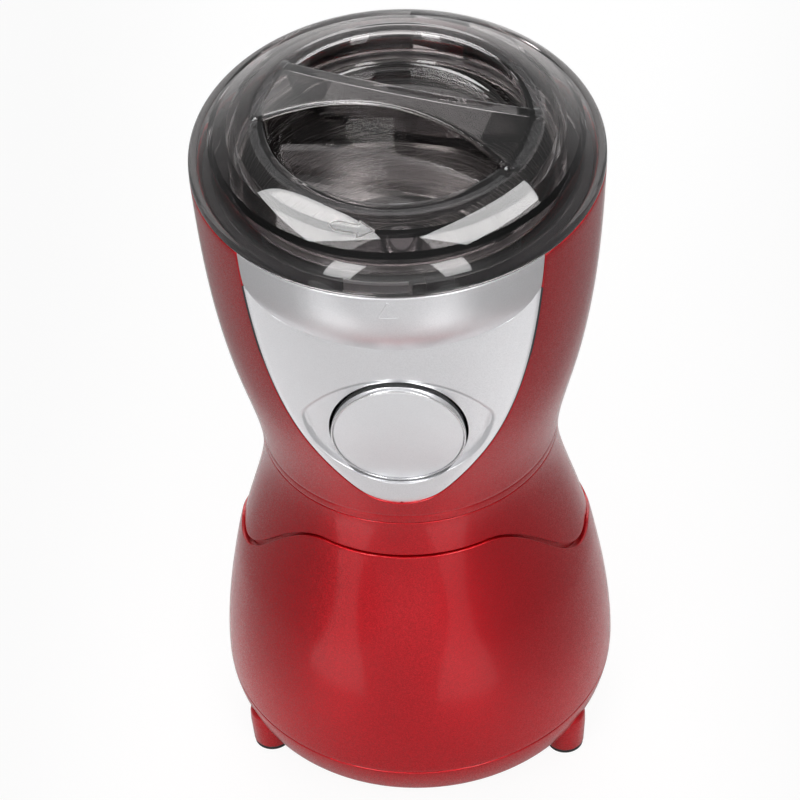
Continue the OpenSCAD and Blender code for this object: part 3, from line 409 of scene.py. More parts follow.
class Workpiece:
    def __init__(self, name: str) -> None:
        """Starts an empty piece.

        Args:
            name: Name of the finished piece.
        """
        self.name = name
        self.obj: bpy.types.Object | None = None
        self.whole: bpy.types.Object | None = None

    def lathe(self, section: Sequence[Corner], steps: int = 144, axis: Axis = Axis.UP,
              centre: Sequence[float] = (0.0, 0.0, 0.0), on_axis: bool = False) -> "Workpiece":
        """Spins a section round an axis.

        Args:
            section: Corners as (radius, distance along the axis).
            steps: Segments of the whole turn.
            axis: The axis to turn about.
            centre: A point on the axis.
            on_axis: Whether the section's two ends lie on the axis.

        Returns:
            The piece itself.
        """
        obj = self._add(bpy.ops.mesh.primitive_circle_add, vertices=len(section))
        place = [(r, 0.0, h) if axis is Axis.UP else (r, h, 0.0) for r, h in section]
        for vertex, corner in zip(obj.data.vertices, place):
            vertex.co = Vector(corner) + Vector(centre)
        with editing(obj):
            if on_axis:
                mesh = bmesh.from_edit_mesh(obj.data)
                mesh.verts.ensure_lookup_table()
                ends = {mesh.verts[0], mesh.verts[len(section) - 1]}
                for edge in [e for e in mesh.edges if set(e.verts) == ends]:
                    mesh.edges.remove(edge)
                bmesh.update_edit_mesh(obj.data)
                bpy.ops.mesh.select_all(action="SELECT")
            bpy.ops.mesh.spin(steps=steps, angle=2 * math.pi, center=centre, axis=axis.value)
            self._close_up()
        return self

    def sheet(self, points: np.ndarray, merged: bool = True) -> "Workpiece":
        """Lays a grid over a table of points.

        Args:
            points: Places with the shape (columns, rows, 3).
            merged: Whether doubles are merged and the faces turned outwards.

        Returns:
            The piece itself.
        """
        columns, rows = points.shape[:2]
        obj = self._add(bpy.ops.mesh.primitive_grid_add, size=1.0,
                        x_subdivisions=columns - 1, y_subdivisions=rows - 1)
        place = np.empty(len(obj.data.vertices) * 3)
        obj.data.vertices.foreach_get("co", place)
        place = place.reshape(-1, 3)
        i = np.rint((place[:, 0] + 0.5) * (columns - 1)).astype(int)
        j = np.rint((place[:, 1] + 0.5) * (rows - 1)).astype(int)
        obj.data.vertices.foreach_set("co", points[i, j].ravel())
        obj.data.update()
        if merged:
            with editing(obj):
                self._close_up()
        return self

    def block(self, low: Sequence[float], high: Sequence[float]) -> "Workpiece":
        """Adds a box.

        Args:
            low: Its corner with the least x, y and z.
            high: The corner across from it.

        Returns:
            The piece itself.
        """
        obj = self._add(bpy.ops.mesh.primitive_cube_add, size=1.0)
        low, high = Vector(low), Vector(high)
        for vertex in obj.data.vertices:
            share = vertex.co + Vector((0.5, 0.5, 0.5))
            vertex.co = low + Vector(s * d for s, d in zip(share, high - low))
        return self

    def stud(self, radius: float, depth: float, middle: Sequence[float],
             turn: Sequence[float] = (0.0, 0.0, 0.0), sides: int = 64) -> "Workpiece":
        """Adds a cylinder at its place.

        Args:
            radius: Radius.
            depth: Length along its own axis.
            middle: Middle of the cylinder.
            turn: Angles about X, Y and Z, in radians.
            sides: Sides of the round.

        Returns:
            The piece itself.
        """
        self._add(bpy.ops.mesh.primitive_cylinder_add, radius=radius, depth=depth,
                  location=middle, rotation=turn, vertices=sides)
        deselect()
        self.obj.select_set(True)
        bpy.ops.object.transform_apply(location=True, rotation=True, scale=True)
        return self

    def _add(self, operator: Callable, **sizes: object) -> bpy.types.Object:
        """Adds a primitive as the part of the piece that is worked on.

        Args:
            operator: Operator that adds it.
            **sizes: Settings of the operator.

        Returns:
            The new part.
        """
        self.close()
        deselect()
        operator(**sizes)
        self.obj = bpy.context.active_object
        return self.obj

    @staticmethod
    def _close_up() -> None:
        """Merges doubles and turns the faces outwards, in edit mode."""
        bpy.ops.mesh.select_all(action="SELECT")
        bpy.ops.mesh.remove_doubles(threshold=0.002)
        bpy.ops.mesh.normals_make_consistent(inside=False)

    def modifier(self, kind: str, **values: object) -> "Workpiece":
        """Adds a modifier to the part that is worked on, and applies it.

        Args:
            kind: Kind of modifier.
            **values: Its settings.

        Returns:
            The piece itself.
        """
        added = self.obj.modifiers.new(kind.lower(), kind)
        for key, value in values.items():
            setattr(added, key, value)
        deselect()
        self.obj.select_set(True)
        bpy.context.view_layer.objects.active = self.obj
        bpy.ops.object.modifier_apply(modifier=added.name)
        return self

    def wall(self, thick: float) -> "Workpiece":
        """Gives a sheet a wall on its inner side."""
        return self.modifier("SOLIDIFY", thickness=thick, offset=-1.0, use_even_offset=True)

    def soften(self, width: float, degrees: float = 40.0, segments: int = 3) -> "Workpiece":
        """Rounds the edges that are sharper than an angle."""
        return self.modifier("BEVEL", width=width, segments=segments, limit_method="ANGLE",
                             angle_limit=math.radians(degrees), use_clamp_overlap=False)

    def cut(self, tool: "Workpiece") -> "Workpiece":
        """Cuts another piece out of the part that is worked on.

        Args:
            tool: The other piece, which is used up.

        Returns:
            The piece itself.
        """
        tool.close()
        self.modifier("BOOLEAN", object=tool.whole, operation="DIFFERENCE", solver="EXACT")
        bpy.data.objects.remove(tool.whole)
        return self

    def cap_ends(self) -> "Workpiece":
        """Closes the open ends of the part that is worked on.

        Returns:
            The piece itself.
        """
        with editing(self.obj):
            bpy.ops.mesh.select_all(action="DESELECT")
            bpy.ops.mesh.select_non_manifold()
            bpy.ops.mesh.edge_face_add()
            self._close_up()
        return self

    def slant(self, before: float, rise: float, z: float) -> "Workpiece":
        """Slants the front of the part that is worked on, so that its top stands further out.

        Args:
            before: Points with a Y below this are moved.
            rise: Shift to the front for each millimetre of height.
            z: Height that stays in its place.

        Returns:
            The piece itself.
        """
        for vertex in self.obj.data.vertices:
            if vertex.co.y < before:
                vertex.co.y -= rise * (vertex.co.z - z)
        return self

    def ring_of(self, angles: Sequence[float]) -> "Workpiece":
        """Puts copies of the part that is worked on in its place.

        Args:
            angles: Turn of each copy about the upright axis, in degrees.

        Returns:
            The piece itself.
        """
        first, copies = self.obj, []
        for angle in angles:
            copy = first.copy()
            copy.data = first.data.copy()
            copy.data.transform(Matrix.Rotation(math.radians(angle), 4, "Z"))
            bpy.context.scene.collection.objects.link(copy)
            copies.append(copy)
        bpy.data.objects.remove(first)
        self.obj = self._joined(copies)
        return self

    def close(self) -> "Workpiece":
        """Joins the part that is worked on to the rest of the piece.

        Returns:
            The piece itself.
        """
        if self.obj is not None:
            self.whole = self._joined([o for o in (self.whole, self.obj) if o is not None])
            self.obj = None
        return self

    @staticmethod
    def _joined(parts: Sequence[bpy.types.Object]) -> bpy.types.Object:
        """Joins objects.

        Args:
            parts: The objects.

        Returns:
            The first of them, which holds all of it.
        """
        deselect()
        for part in parts:
            part.select_set(True)
        bpy.context.view_layer.objects.active = parts[0]
        if len(parts) > 1:
            bpy.ops.object.join()
        return parts[0]

    def merge(self) -> "Workpiece":
        """Joins all of the piece and merges the doubles along its seams.

        Returns:
            The piece itself.
        """
        self.close()
        with editing(self.whole):
            self._close_up()
        return self

    def bend(self, section: Section, middle: float, half: float, steps: int) -> "Workpiece":
        """Adds a bar with a closed section, bent about the upright axis.

        Args:
            section: Corners as (radius, height).
            middle: Angle of its middle from +X, in degrees.
            half: Half of the angle that it takes up.
            steps: Number of straight runs.

        Returns:
            The piece itself.
        """
        turn = np.radians(np.linspace(middle - half, middle + half, steps + 1))[:, None]
        radius, z = np.array(section + section[:1]).T
        return self.sheet(turned(turn, radius, z)).cap_ends()

    def bead(self, corners: Section, profile: Section,
             wrap: Callable[[np.ndarray, float], np.ndarray]) -> "Workpiece":
        """Adds a thin raised line along a flat outline that is wrapped onto a surface.

        Args:
            corners: The outline.
            profile: Section of the line, as (distance across, height over the surface).
            wrap: Gives the places of flat points at a height over the surface.

        Returns:
            The piece itself.
        """
        for start, end in zip(corners, corners[1:] + corners[:1]):
            share = np.linspace(0, 1, 9)[:, None]
            along = np.array(start) + (np.array(end) - np.array(start)) * share
            across = np.array([end[1] - start[1], start[0] - end[0]])
            across = across / np.linalg.norm(across)
            rows = [wrap(along + across * off, up) for off, up in profile + profile[:1]]
            self.sheet(np.stack(rows, 1)).cap_ends()
        return self

    def finish(self, coat: "Coat", body: str, nodes: Sequence[str] = (),
               degrees: float = 30.0) -> bpy.types.Object:
        """Sets the piece down in the frame.

        Args:
            coat: Its finish.
            body: The body it rides on.
            nodes: The nodes it stands for.
            degrees: Edges sharper than this stay sharp.

        Returns:
            The finished object.
        """
        self.close()
        obj, slot = self.whole, coat.slot
        obj.name = obj.data.name = self.name
        obj.data.transform(Matrix.Translation((0, 0, BODY_LIFT)) @ Matrix.Scale(MM, 4))
        obj.data.materials.clear()
        obj.data.materials.append(coat.material)
        deselect()
        obj.select_set(True)
        bpy.context.view_layer.objects.active = obj
        bpy.ops.object.shade_smooth_by_angle(angle=math.radians(degrees))
        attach(obj, body)
        if nodes:
            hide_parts(*nodes)
        obj.data.calc_loop_triangles()
        LOG.info("%s: %d triangles, for %s", self.name, len(obj.data.loop_triangles),
                 ", ".join(nodes) or "nothing in the frame")
        return obj


# ---- finishes ---------------------------------------------------------------------------------


class Nodes:
    """A node tree that is put together node by node."""

    def __init__(self, owner: bpy.types.Material | bpy.types.World) -> None:
        """Starts with an empty tree.

        Args:
            owner: The material or world that the tree belongs to.
        """
        owner.use_nodes = True
        self.tree = owner.node_tree
        self.tree.nodes.clear()

    def node(self, kind: str, inputs: dict | None = None, **values: object) -> bpy.types.Node:
        """Adds a node.

        Args:
            kind: Kind of node.
            inputs: Socket values or sockets to link from, by socket name or number.
            **values: Settings of the node.

        Returns:
            The node.
        """
        made = self.tree.nodes.new(kind)
        for key, value in values.items():
            setattr(made, key, value)
        for key, value in (inputs or {}).items():
            if isinstance(value, Socket):
                self.tree.links.new(value, made.inputs[key])
            else:
                made.inputs[key].default_value = value
        return made

    def span(self, value: Socket, low: float, high: float, start: float = 0.0, end: float = 1.0,
             **values: object) -> Socket:
        """Stretches a value from start..end to low..high.

        Args:
            value: The value.
            low: Result at the start.
            high: Result at the end.
            start: Value at the start.
            end: Value at the end.
            **values: Settings of the node.

        Returns:
            The result.
        """
        inputs = {"Value": value, "From Min": start, "From Max": end, "To Min": low,
                  "To Max": high}
        return self.node("ShaderNodeMapRange", inputs, **values).outputs["Result"]

    def math(self, kind: str, *values: object) -> Socket:
        """Returns the result of a Math node."""
        return self.node("ShaderNodeMath", dict(enumerate(values)), operation=kind).outputs[0]

    def vector(self, kind: str, inputs: dict) -> Socket:
        """Returns the vector that a Vector Math node gives."""
        return self.node("ShaderNodeVectorMath", inputs, operation=kind).outputs[0]

    def mixed(self, share: Socket, first: Socket, second: Socket) -> Socket:
        """Returns a mix of two shaders."""
        return self.node("ShaderNodeMixShader", {0: share, 1: first, 2: second}).outputs[0]

    def from_axis(self, x: Socket, y: Socket) -> Socket:
        """Returns the distance from the upright axis."""
        return self.math("SQRT", self.math("ADD", self.math("MULTIPLY", x, x),
                                           self.math("MULTIPLY", y, y)))

    def ray(self, kind: str) -> Socket:
        """Returns 1 for rays of a kind."""
        return self.node("ShaderNodeLightPath").outputs[kind]


class Shader(Nodes):
    """A material with a Principled shader."""

    def __init__(self, name: str) -> None:
        """Starts the material.

        Args:
            name: Name of the material.
        """
        self.material = bpy.data.materials.new(name)
        super().__init__(self.material)
        self.surface = self.node("ShaderNodeBsdfPrincipled")
        self.output = self.node("ShaderNodeOutputMaterial", {"Surface": self.surface.outputs[0]})
        self.place = self.node("ShaderNodeTexCoord").outputs["Object"]

    def set(self, **values: object) -> None:
        """Sets sockets of the Principled shader.

        Args:
            **values: Values or sockets by socket name, with _ for a space.
        """
        for key, value in values.items():
            socket = self.surface.inputs[key.replace("_", " ")]
            if isinstance(value, Socket):
                self.tree.links.new(value, socket)
            else:
                socket.default_value = value

    def noise(self, scale: float, detail: float = 2.0, vector: Socket | None = None) -> Socket:
        """Returns a noise from 0 to 1 at a scale in one over metres."""
        return self.node("ShaderNodeTexNoise", {"Vector": vector or self.place, "Scale": scale,
                                                "Detail": detail}).outputs["Fac"]

    def blend(self, share: Socket, first: Colour | Socket, second: Colour) -> Socket:
        """Mixes two colours.

        Args:
            share: Share of the second colour.
            first: The first colour, or a socket that gives it.
            second: The second colour.

        Returns:
            The colour between them.
        """
        start = first if isinstance(first, Socket) else (*first, 1.0)
        return self.node("ShaderNodeMix", {0: share, 6: start, 7: (*second, 1.0)},
                         data_type="RGBA").outputs[2]

    def bump(self, height: Socket, depth: float, strength: float = 1.0) -> Socket:
        """Returns a normal raised by a height from 0 to 1, over a depth in metres."""
        return self.node("ShaderNodeBump", {"Height": height, "Distance": depth,
                                            "Strength": strength}).outputs["Normal"]


@dataclass(frozen=True)
class FlakePaint:
    """A metallic paint: flakes that glint under a clear coat."""

    name: str
    colour: Colour
    dark: Colour
    metallic: float = 0.6
    roughness: float = 0.34
    flake: float = 5200.0
    tilt: float = 0.22
    coat: float = 1.0
    coat_roughness: float = 0.04
    coat_ior: float = 1.5
    specular: float = 0.5

    def build(self) -> bpy.types.Material:
        """Builds the finish.

        Returns:
            The material.
        """
        shader = Shader(self.name)
        cells = shader.node("ShaderNodeTexVoronoi",
                            {"Vector": shader.place, "Scale": self.flake}).outputs["Color"]
        lean = shader.vector("SUBTRACT", {0: cells, 1: (0.5, 0.5, 0.5)})
        lean = shader.vector("SCALE", {0: lean, "Scale": self.tilt})
        flat = shader.node("ShaderNodeNewGeometry").outputs["Normal"]
        tilted = shader.vector("NORMALIZE", {0: shader.vector("ADD", {0: flat, 1: lean})})
        share = shader.node("ShaderNodeSeparateColor", {0: cells}).outputs[0]
        cloud = shader.noise(60.0, 3.0)
        share = shader.math("MULTIPLY", shader.span(share, 0.35, 1.0), shader.span(cloud, 0.9, 1.1))
        peel = shader.bump(shader.noise(900.0, 2.0), 0.00002, 0.25)
        shader.set(Base_Color=shader.blend(share, self.dark, self.colour),
                   Metallic=self.metallic, Specular_IOR_Level=self.specular,
                   Roughness=shader.span(shader.noise(300.0), self.roughness - 0.04,
                                         self.roughness + 0.04),
                   Normal=tilted, Coat_Weight=self.coat, Coat_Roughness=self.coat_roughness,
                   Coat_IOR=self.coat_ior, Coat_Normal=peel)
        return shader.material


@dataclass(frozen=True)
class Moulded:
    """A moulded plastic or rubber with a fine spark-eroded grain."""

    name: str
    colour: Colour
    roughness: float = 0.5
    grain: float = 2500.0
    depth: float = 0.00002
    strength: float = 0.4

    def build(self) -> bpy.types.Material:
        """Builds the finish.

        Returns:
            The material.
        """
        shader = Shader(self.name)
        cloud = shader.noise(90.0, 4.0)
        grain = shader.noise(self.grain, 2.0)
        lighter = tuple(min(1.0, c * 1.18 + 0.003) for c in self.colour)
        darker = tuple(c * 0.86 for c in self.colour)
        shader.set(Base_Color=shader.blend(cloud, darker, lighter),
                   Roughness=shader.span(grain, self.roughness - 0.07, self.roughness + 0.07),
                   Normal=shader.bump(grain, self.depth, self.strength))
        return shader.material


@dataclass(frozen=True)
class Metal:
    """A metal with fine marks."""

    class Marks(Enum):
        """How the marks run: turned, drawn lengthwise, as a cast skin, or in level layers."""

        RINGS = 1
        DRAWN = 2
        SKIN = 3
        LAYERS = 4

    name: str
    colour: Colour
    roughness: float = 0.25
    marks: Marks = Marks.SKIN
    pitch: float = 2500.0
    depth: float = 0.00001
    strength: float = 0.3

    def build(self) -> bpy.types.Material:
        """Builds the finish.

        Returns:
            The material.
        """
        shader = Shader(self.name)
        x, y, z = shader.node("ShaderNodeSeparateXYZ", {0: shader.place}).outputs
        if self.marks is Metal.Marks.RINGS:
            place = shader.node("ShaderNodeCombineXYZ",
                                {0: shader.from_axis(x, y), 1: z}).outputs[0]
        elif self.marks is Metal.Marks.DRAWN:
            place = shader.vector("MULTIPLY", {0: shader.place, 1: (1.0, 1.0, 0.03)})
        elif self.marks is Metal.Marks.LAYERS:
            place = shader.node("ShaderNodeCombineXYZ", {2: z}).outputs[0]
        else:
            place = shader.place
        fine = shader.noise(self.pitch, 3.0, place)
        cloud = shader.noise(45.0, 3.0)
        darker = tuple(c * 0.82 for c in self.colour)
        share = shader.math("ADD", shader.span(fine, 0.2, 0.9, 0.25, 0.75),
                            shader.span(cloud, -0.15, 0.15))
        shader.set(Base_Color=shader.blend(share, darker, self.colour),
                   Metallic=1.0,
                   Roughness=shader.span(fine, self.roughness * 0.75, self.roughness * 1.3,
                                         0.25, 0.75),
                   Normal=shader.bump(fine, self.depth, self.strength))
        return shader.material


@dataclass(frozen=True)
class SmokePlastic:
    """A clear plastic with a smoke tint, whose shadow lets light through."""

    name: str
    colour: Colour
    shade: Colour
    roughness: float = 0.02
    ior: float = 1.49
    # A darker colour painted on the crown ring and the rim: painted shade where the plastic is seen
    # edge on.
    edge_on_shade: Colour | None = None
    shade_ring_from: float = 0.0316
    shade_ring_to: float = 0.0348
    rim_z: float = 0.1826
    fade: float = 0.0003

    def _edge_on_shade_share(self, shader: Shader) -> Socket:
        """Finds the crown's ring and the rim, where the plastic is seen edge on and a darker colour
        is painted as shade.

        Args:
            shader: The shader to add the nodes to.

        Returns:
            1 in the ring and along the rim, 0 elsewhere.
        """
        x, y, z = shader.node("ShaderNodeSeparateXYZ", {0: shader.place}).outputs
        reach = shader.from_axis(x, y)
        ring = shader.math("MULTIPLY",
                           shader.span(reach, 0, 1, self.shade_ring_from, self.shade_ring_from + self.fade),
                           shader.span(reach, 1, 0, self.shade_ring_to, self.shade_ring_to + self.fade))
        return shader.math("MAXIMUM", ring,
                           shader.span(z, 1, 0, self.rim_z, self.rim_z + self.fade))

    def build(self) -> bpy.types.Material:
        """Builds the finish.

        Returns:
            The material.
        """
        shader = Shader(self.name)
        cloud = shader.noise(40.0, 2.0)
        fine = tuple(c * 0.94 for c in self.colour)
        colour = shader.blend(cloud, fine, self.colour)
        # Painted shade: a darker colour on the crown ring and the rim, where the plastic is seen
        # edge on.
        if self.edge_on_shade:
            colour = shader.blend(self._edge_on_shade_share(shader), colour, self.edge_on_shade)
        shader.set(Base_Color=colour, Transmission_Weight=1.0, IOR=self.ior,
                   Roughness=shader.span(shader.noise(500.0), self.roughness,
                                         self.roughness + 0.015),
                   Normal=shader.bump(shader.noise(160.0, 1.0), 0.00002, 0.06))
        clear = shader.node("ShaderNodeBsdfTransparent", {0: (*self.shade, 1.0)})
        both = shader.mixed(shader.ray("Is Shadow Ray"), shader.surface.outputs[0],
                            clear.outputs[0])
        shader.tree.links.new(both, shader.output.inputs["Surface"])
        return shader.material


@dataclass(frozen=True)
class Coat:
    """A material and the record's slot that it stands for."""

    material: bpy.types.Material
    slot: str


class Finishes:
    """Every finish of the grinder, by the record's slot."""

    def __init__(self) -> None:
        """Builds the materials."""
        made = {
            "red_flake": FlakePaint("red_flake_paint", (0.66, 0.009, 0.018), (0.34, 0.004, 0.008),
                                    metallic=0.78, roughness=0.36, coat_roughness=0.13,
                                    coat_ior=1.34, specular=0.25),
            "silver_paint": FlakePaint("silver_paint", (0.88, 0.88, 0.90), (0.76, 0.76, 0.78),
                                       metallic=0.75, roughness=0.32, flake=7000.0, tilt=0.1,
                                       coat=0.25, coat_roughness=0.2),
            "button_silver": FlakePaint("button_silver", (0.88, 0.88, 0.90), (0.78, 0.78, 0.80),
                                        metallic=0.6, roughness=0.42, flake=8000.0, tilt=0.08,
                                        coat=0.1, coat_roughness=0.3),
            "chrome_trim": Metal("chrome", (0.86, 0.86, 0.87), 0.06, Metal.Marks.SKIN, 900.0,
                                 0.000002, 0.1),
            "bowl_steel": Metal("spun_steel", (0.27, 0.265, 0.26), 0.24, Metal.Marks.RINGS, 3800.0,
                                0.000006, 0.2),
            "blade_steel": Metal("ground_steel", (0.34, 0.34, 0.35), 0.22, Metal.Marks.DRAWN,
                                 2600.0, 0.000006, 0.3),
            "spring_steel": Metal("spring_steel", (0.5, 0.5, 0.51), 0.28, Metal.Marks.SKIN,
                                  3000.0),
            "screw_steel": Metal("zinc_plated", (0.62, 0.63, 0.64), 0.3, Metal.Marks.RINGS,
                                 3000.0),
            "shaft_steel": Metal("turned_shaft", (0.58, 0.58, 0.6), 0.16, Metal.Marks.LAYERS,
                                 3500.0),
            "bracket_iron": Metal("bracket_iron", (0.42, 0.43, 0.45), 0.42, Metal.Marks.SKIN,
                                  700.0, 0.00003, 0.4),
            "bronze": Metal("sintered_bronze", (0.62, 0.43, 0.2), 0.42, Metal.Marks.SKIN,
                            2600.0, 0.00003, 0.5),
            "lamination": Metal("laminations", (0.36, 0.37, 0.39), 0.5, Metal.Marks.LAYERS,
                                2000.0, 0.00008, 0.8),
            "copper_wire": Metal("enamelled_wire", (0.72, 0.27, 0.09), 0.3, Metal.Marks.LAYERS,
                                 1800.0, 0.0001, 0.8),
            "commutator_copper": Metal("commutator_copper", (0.83, 0.42, 0.26), 0.28,
                                       Metal.Marks.LAYERS, 3200.0),
            "carbon": Moulded("carbon", (0.03, 0.03, 0.032), 0.62, 1600.0, 0.00004),
            "black_rubber": Moulded("black_rubber", (0.018, 0.018, 0.019), 0.78, 1900.0, 0.00004),
            "black_plastic": Moulded("black_plastic", (0.02, 0.02, 0.022), 0.46),
            "switch_black": Moulded("switch_plastic", (0.028, 0.028, 0.03), 0.38),
            "switch_red": Moulded("plunger_plastic", (0.5, 0.04, 0.02), 0.4),
            "fan_plastic": Moulded("fan_plastic", (0.05, 0.05, 0.055), 0.42),
            "clear_silicone": SmokePlastic("clear_silicone", (0.86, 0.87, 0.86),
                                           (0.75, 0.76, 0.75), 0.34, 1.41),
            # The smoke lid's darker colour on its crown ring and rim is painted shade.
            "smoke_lid": SmokePlastic("smoke_plastic", (0.54, 0.515, 0.515), (0.34, 0.32, 0.33),
                                      edge_on_shade=(0.30, 0.295, 0.30)),
        }
        frosted = SmokePlastic("frosted_line", (0.93, 0.92, 0.92), (0.8, 0.8, 0.8), 0.5)
        self.frosted = Coat(frosted.build(), "smoke_lid")
        self.by_slot = {slot: Coat(finish.build(), slot) for slot, finish in made.items()}

    def of(self, slot: str) -> Coat:
        """Returns the coat of a slot."""
        return self.by_slot[slot]

    def dress_frame(self) -> None:
        """Gives every node of the frame the finish of its slot."""
        for entry in frame["record"]["materials"]:
            for name in entry.get("nodes", []):
                if name in frame["nodes"]:
                    mesh = frame["nodes"][name].data
                    mesh.materials.clear()
                    mesh.materials.append(self.of(entry["slot"]).material)


# ---- shells -----------------------------------------------------------------------------------


@dataclass
class Shells:
    """The four red shells, the legs and their pads."""

    finishes: Finishes
    body: Body = field(default_factory=Body)
    shield: Shield = field(default_factory=Shield)
    edge: float = 0.22
    columns: int = 361
    groove_up: float = 2.6
    groove_depth: float = 0.14
    groove_w: float = 0.22
    spigot_h: float = 5.0
    spigot_t: float = 1.6
    hidden_t: float = 1.6
    support_z: float = 135.0
    support_in: float = 7.8
    support_angles: tuple[float, ...] = (45.0, 135.0, 225.0, 315.0)
    boss_r: float = 3.6
    boss_h: float = 17.0
    ledge_z: float = 164.0
    ledge_angles: tuple[float, ...] = (30.0, 150.0, 210.0, 330.0)
    skirt_r: float = 47.0
    leg_ring_r: float = 44.3
    leg_top_r: float = 5.3
    leg_foot_r: float = 4.8
    pad_t: float = 1.2
    bushing_z: float = 24.0
    floor_t: float = 2.2
    screw_hole_r: float = 1.65
    screw_head_r: float = 2.95
    screw_ring_r: float = 40.03
    screw_angles: tuple[float, ...] = (30.0, 150.0, 270.0)
    leg_angles: tuple[float, ...] = (-150.0, -30.0, 90.0)
    slot_w: float = 2.6
    slot_step: float = 6.0
    slots_r: float = 26.0

    def build(self) -> None:
        """Builds the shells from the top down."""
        self.upper_housing()
        self.waist_shell()
        self.base_shell()
        self.bottom_cover()
        self.legs()
        self.foot_pads()

    def upper_housing(self) -> None:
        """Builds the housing with the window for the shield and a fine groove above its seam."""
        body, shield = self.body, self.shield
        low, tip = body.waist_seam_z + body.seam_gap, shield.tip_z
        groove = low + self.groove_up
        z = np.concatenate([[low, low + 0.9, low + 1.8, groove - 0.35, groove, groove + 0.35],
                            np.linspace(groove + 0.9, tip - 0.5, 4),
                            tip + (body.top_z - tip) * np.linspace(0, 1, 56) ** 1.8])
        radius = body.body(z) - self.groove_depth * np.exp(-(((z - groove) / self.groove_w) ** 2))
        half = np.where(z > tip, shield.half_w(z), 0.0)
        start = np.arcsin(half / body.body(z))
        azimuth = start + np.linspace(0, 1, 289)[:, None] * (2 * math.pi - 2 * start)
        piece = Workpiece("upper_shell")
        piece.sheet(around(azimuth, radius, z)).wall(body.wall).soften(self.edge)
        self._supports(piece)
        piece.finish(self.finishes.of("red_flake"), "housing", ["upper_housing"])

    def _supports(self, piece: Workpiece) -> None:
        """Adds the bosses and ribs under the bowl's plate, and the ledges under the deck.

        Args:
            piece: The housing.
        """
        body, top, hole_r = self.body, self.support_z, self.screw_hole_r
        foot = top - self.boss_h
        boss = rounded([(hole_r, top - 9), (self.boss_r, foot), (self.boss_r, top - 0.02),
                        (hole_r, top - 0.02)], [0, 0.6, 0.3, 0], 3)
        ring_r = float(body.body(top)) - self.support_in
        piece.lathe(boss, 48, centre=(ring_r, 0, 0)).ring_of(self.support_angles)
        wall_in = float(body.body(foot)) - body.wall / 2
        piece.block((ring_r + 3, -1, foot), (wall_in, 1, top - 0.4))
        piece.soften(0.25).ring_of(self.support_angles)
        wall_in = float(body.body(self.ledge_z)) - body.wall / 2
        piece.block((self.skirt_r - 2.5, -3, self.ledge_z - 4), (wall_in, 3, self.ledge_z))
        piece.soften(0.4).ring_of(self.ledge_angles)

    def _azimuth(self) -> np.ndarray:
        """Returns the azimuths of a shell's columns, once round from the back."""
        return np.linspace(-math.pi, math.pi, self.columns)

    def _band(self, low: float | np.ndarray, high: float | np.ndarray, outline: Callable,
              rows: int) -> np.ndarray:
        """Returns a closed band of points, of which one edge may be wavy.

        Args:
            low: Lower height, or a column with one for each azimuth.
            high: Upper height, or a column with one for each azimuth.
            outline: Radius for a height.
            rows: Number of rows.

        Returns:
            Points with the shape (columns, rows, 3).
        """
        z = low + (high - low) * np.linspace(0, 1, rows)
        return around(self._azimuth()[:, None], outline(z), z)

    def waist_shell(self) -> None:
        """Builds the waist shell with its wavy lower edge, its hidden skirt and its spigot."""
        body = self.body
        wave = body.wave_at(self._azimuth(), body.body) + body.seam_gap
        piece = Workpiece("waist")
        piece.sheet(self._band(wave[:, None], body.waist_seam_z, body.body, 30))
        piece.wall(body.wall).soften(self.edge)
        hang = body.wall + body.slip_gap - body.proud
        z = np.linspace(body.flank_z, body.waist_seam_z - 0.4, 28)
        outer = pairs(body.body(z) - hang, z)
        piece.lathe(outer + [(r - self.hidden_t, h) for r, h in reversed(outer)])
        spigot = float(body.body(body.waist_seam_z)) - body.wall - body.slip_gap
        top, root = body.waist_seam_z + self.spigot_h, body.waist_seam_z - 7
        piece.lathe(rounded([(spigot, root), (spigot, top), (spigot - self.spigot_t, top),
                             (spigot - self.spigot_t, root)], [0, 0.5, 0.2, 0], 3))
        piece.finish(self.finishes.of("red_flake"), "housing", ["waist_shell"])

    def base_shell(self) -> None:
        """Builds the base shell with the wavy lip, the hole of the bushing and the bosses."""
        body, hole_r, head_z = self.body, self.screw_hole_r, 20.0
        wave = body.wave_at(self._azimuth(), body.base)
        low = body.cover_z + body.seam_gap / 2
        piece = Workpiece("base")
        piece.sheet(self._band(low, wave[:, None], body.base, 64))
        piece.wall(body.wall).soften(self.edge)
        neck_r, flange_r, seat = 5.05, 6.65, 48.8
        step = [(0.0, 38.0), (neck_r, 38.0), (neck_r, seat), (flange_r, seat), (flange_r, 56.0),
                (0.0, 56.0)]
        piece.cut(Workpiece("hole").lathe(step, 96, Axis.BACK, (0, 0, self.bushing_z),
                                          on_axis=True))
        boss = rounded([(hole_r, 2.5), (3.4, 2.5), (3.4, head_z), (hole_r, head_z)],
                       [0, 0.3, 0.5, 0], 3)
        piece.lathe(boss, 40, centre=(self.screw_ring_r, 0, 0)).ring_of(self.screw_angles)
        reach = float(body.base(head_z)) - body.wall / 2
        piece.block((self.screw_ring_r + 2.9, -1.2, body.cover_z + 2), (reach, 1.2, head_z - 0.4))
        piece.soften(0.25).ring_of(self.screw_angles)
        piece.finish(self.finishes.of("red_flake"), "housing", ["base_shell"])

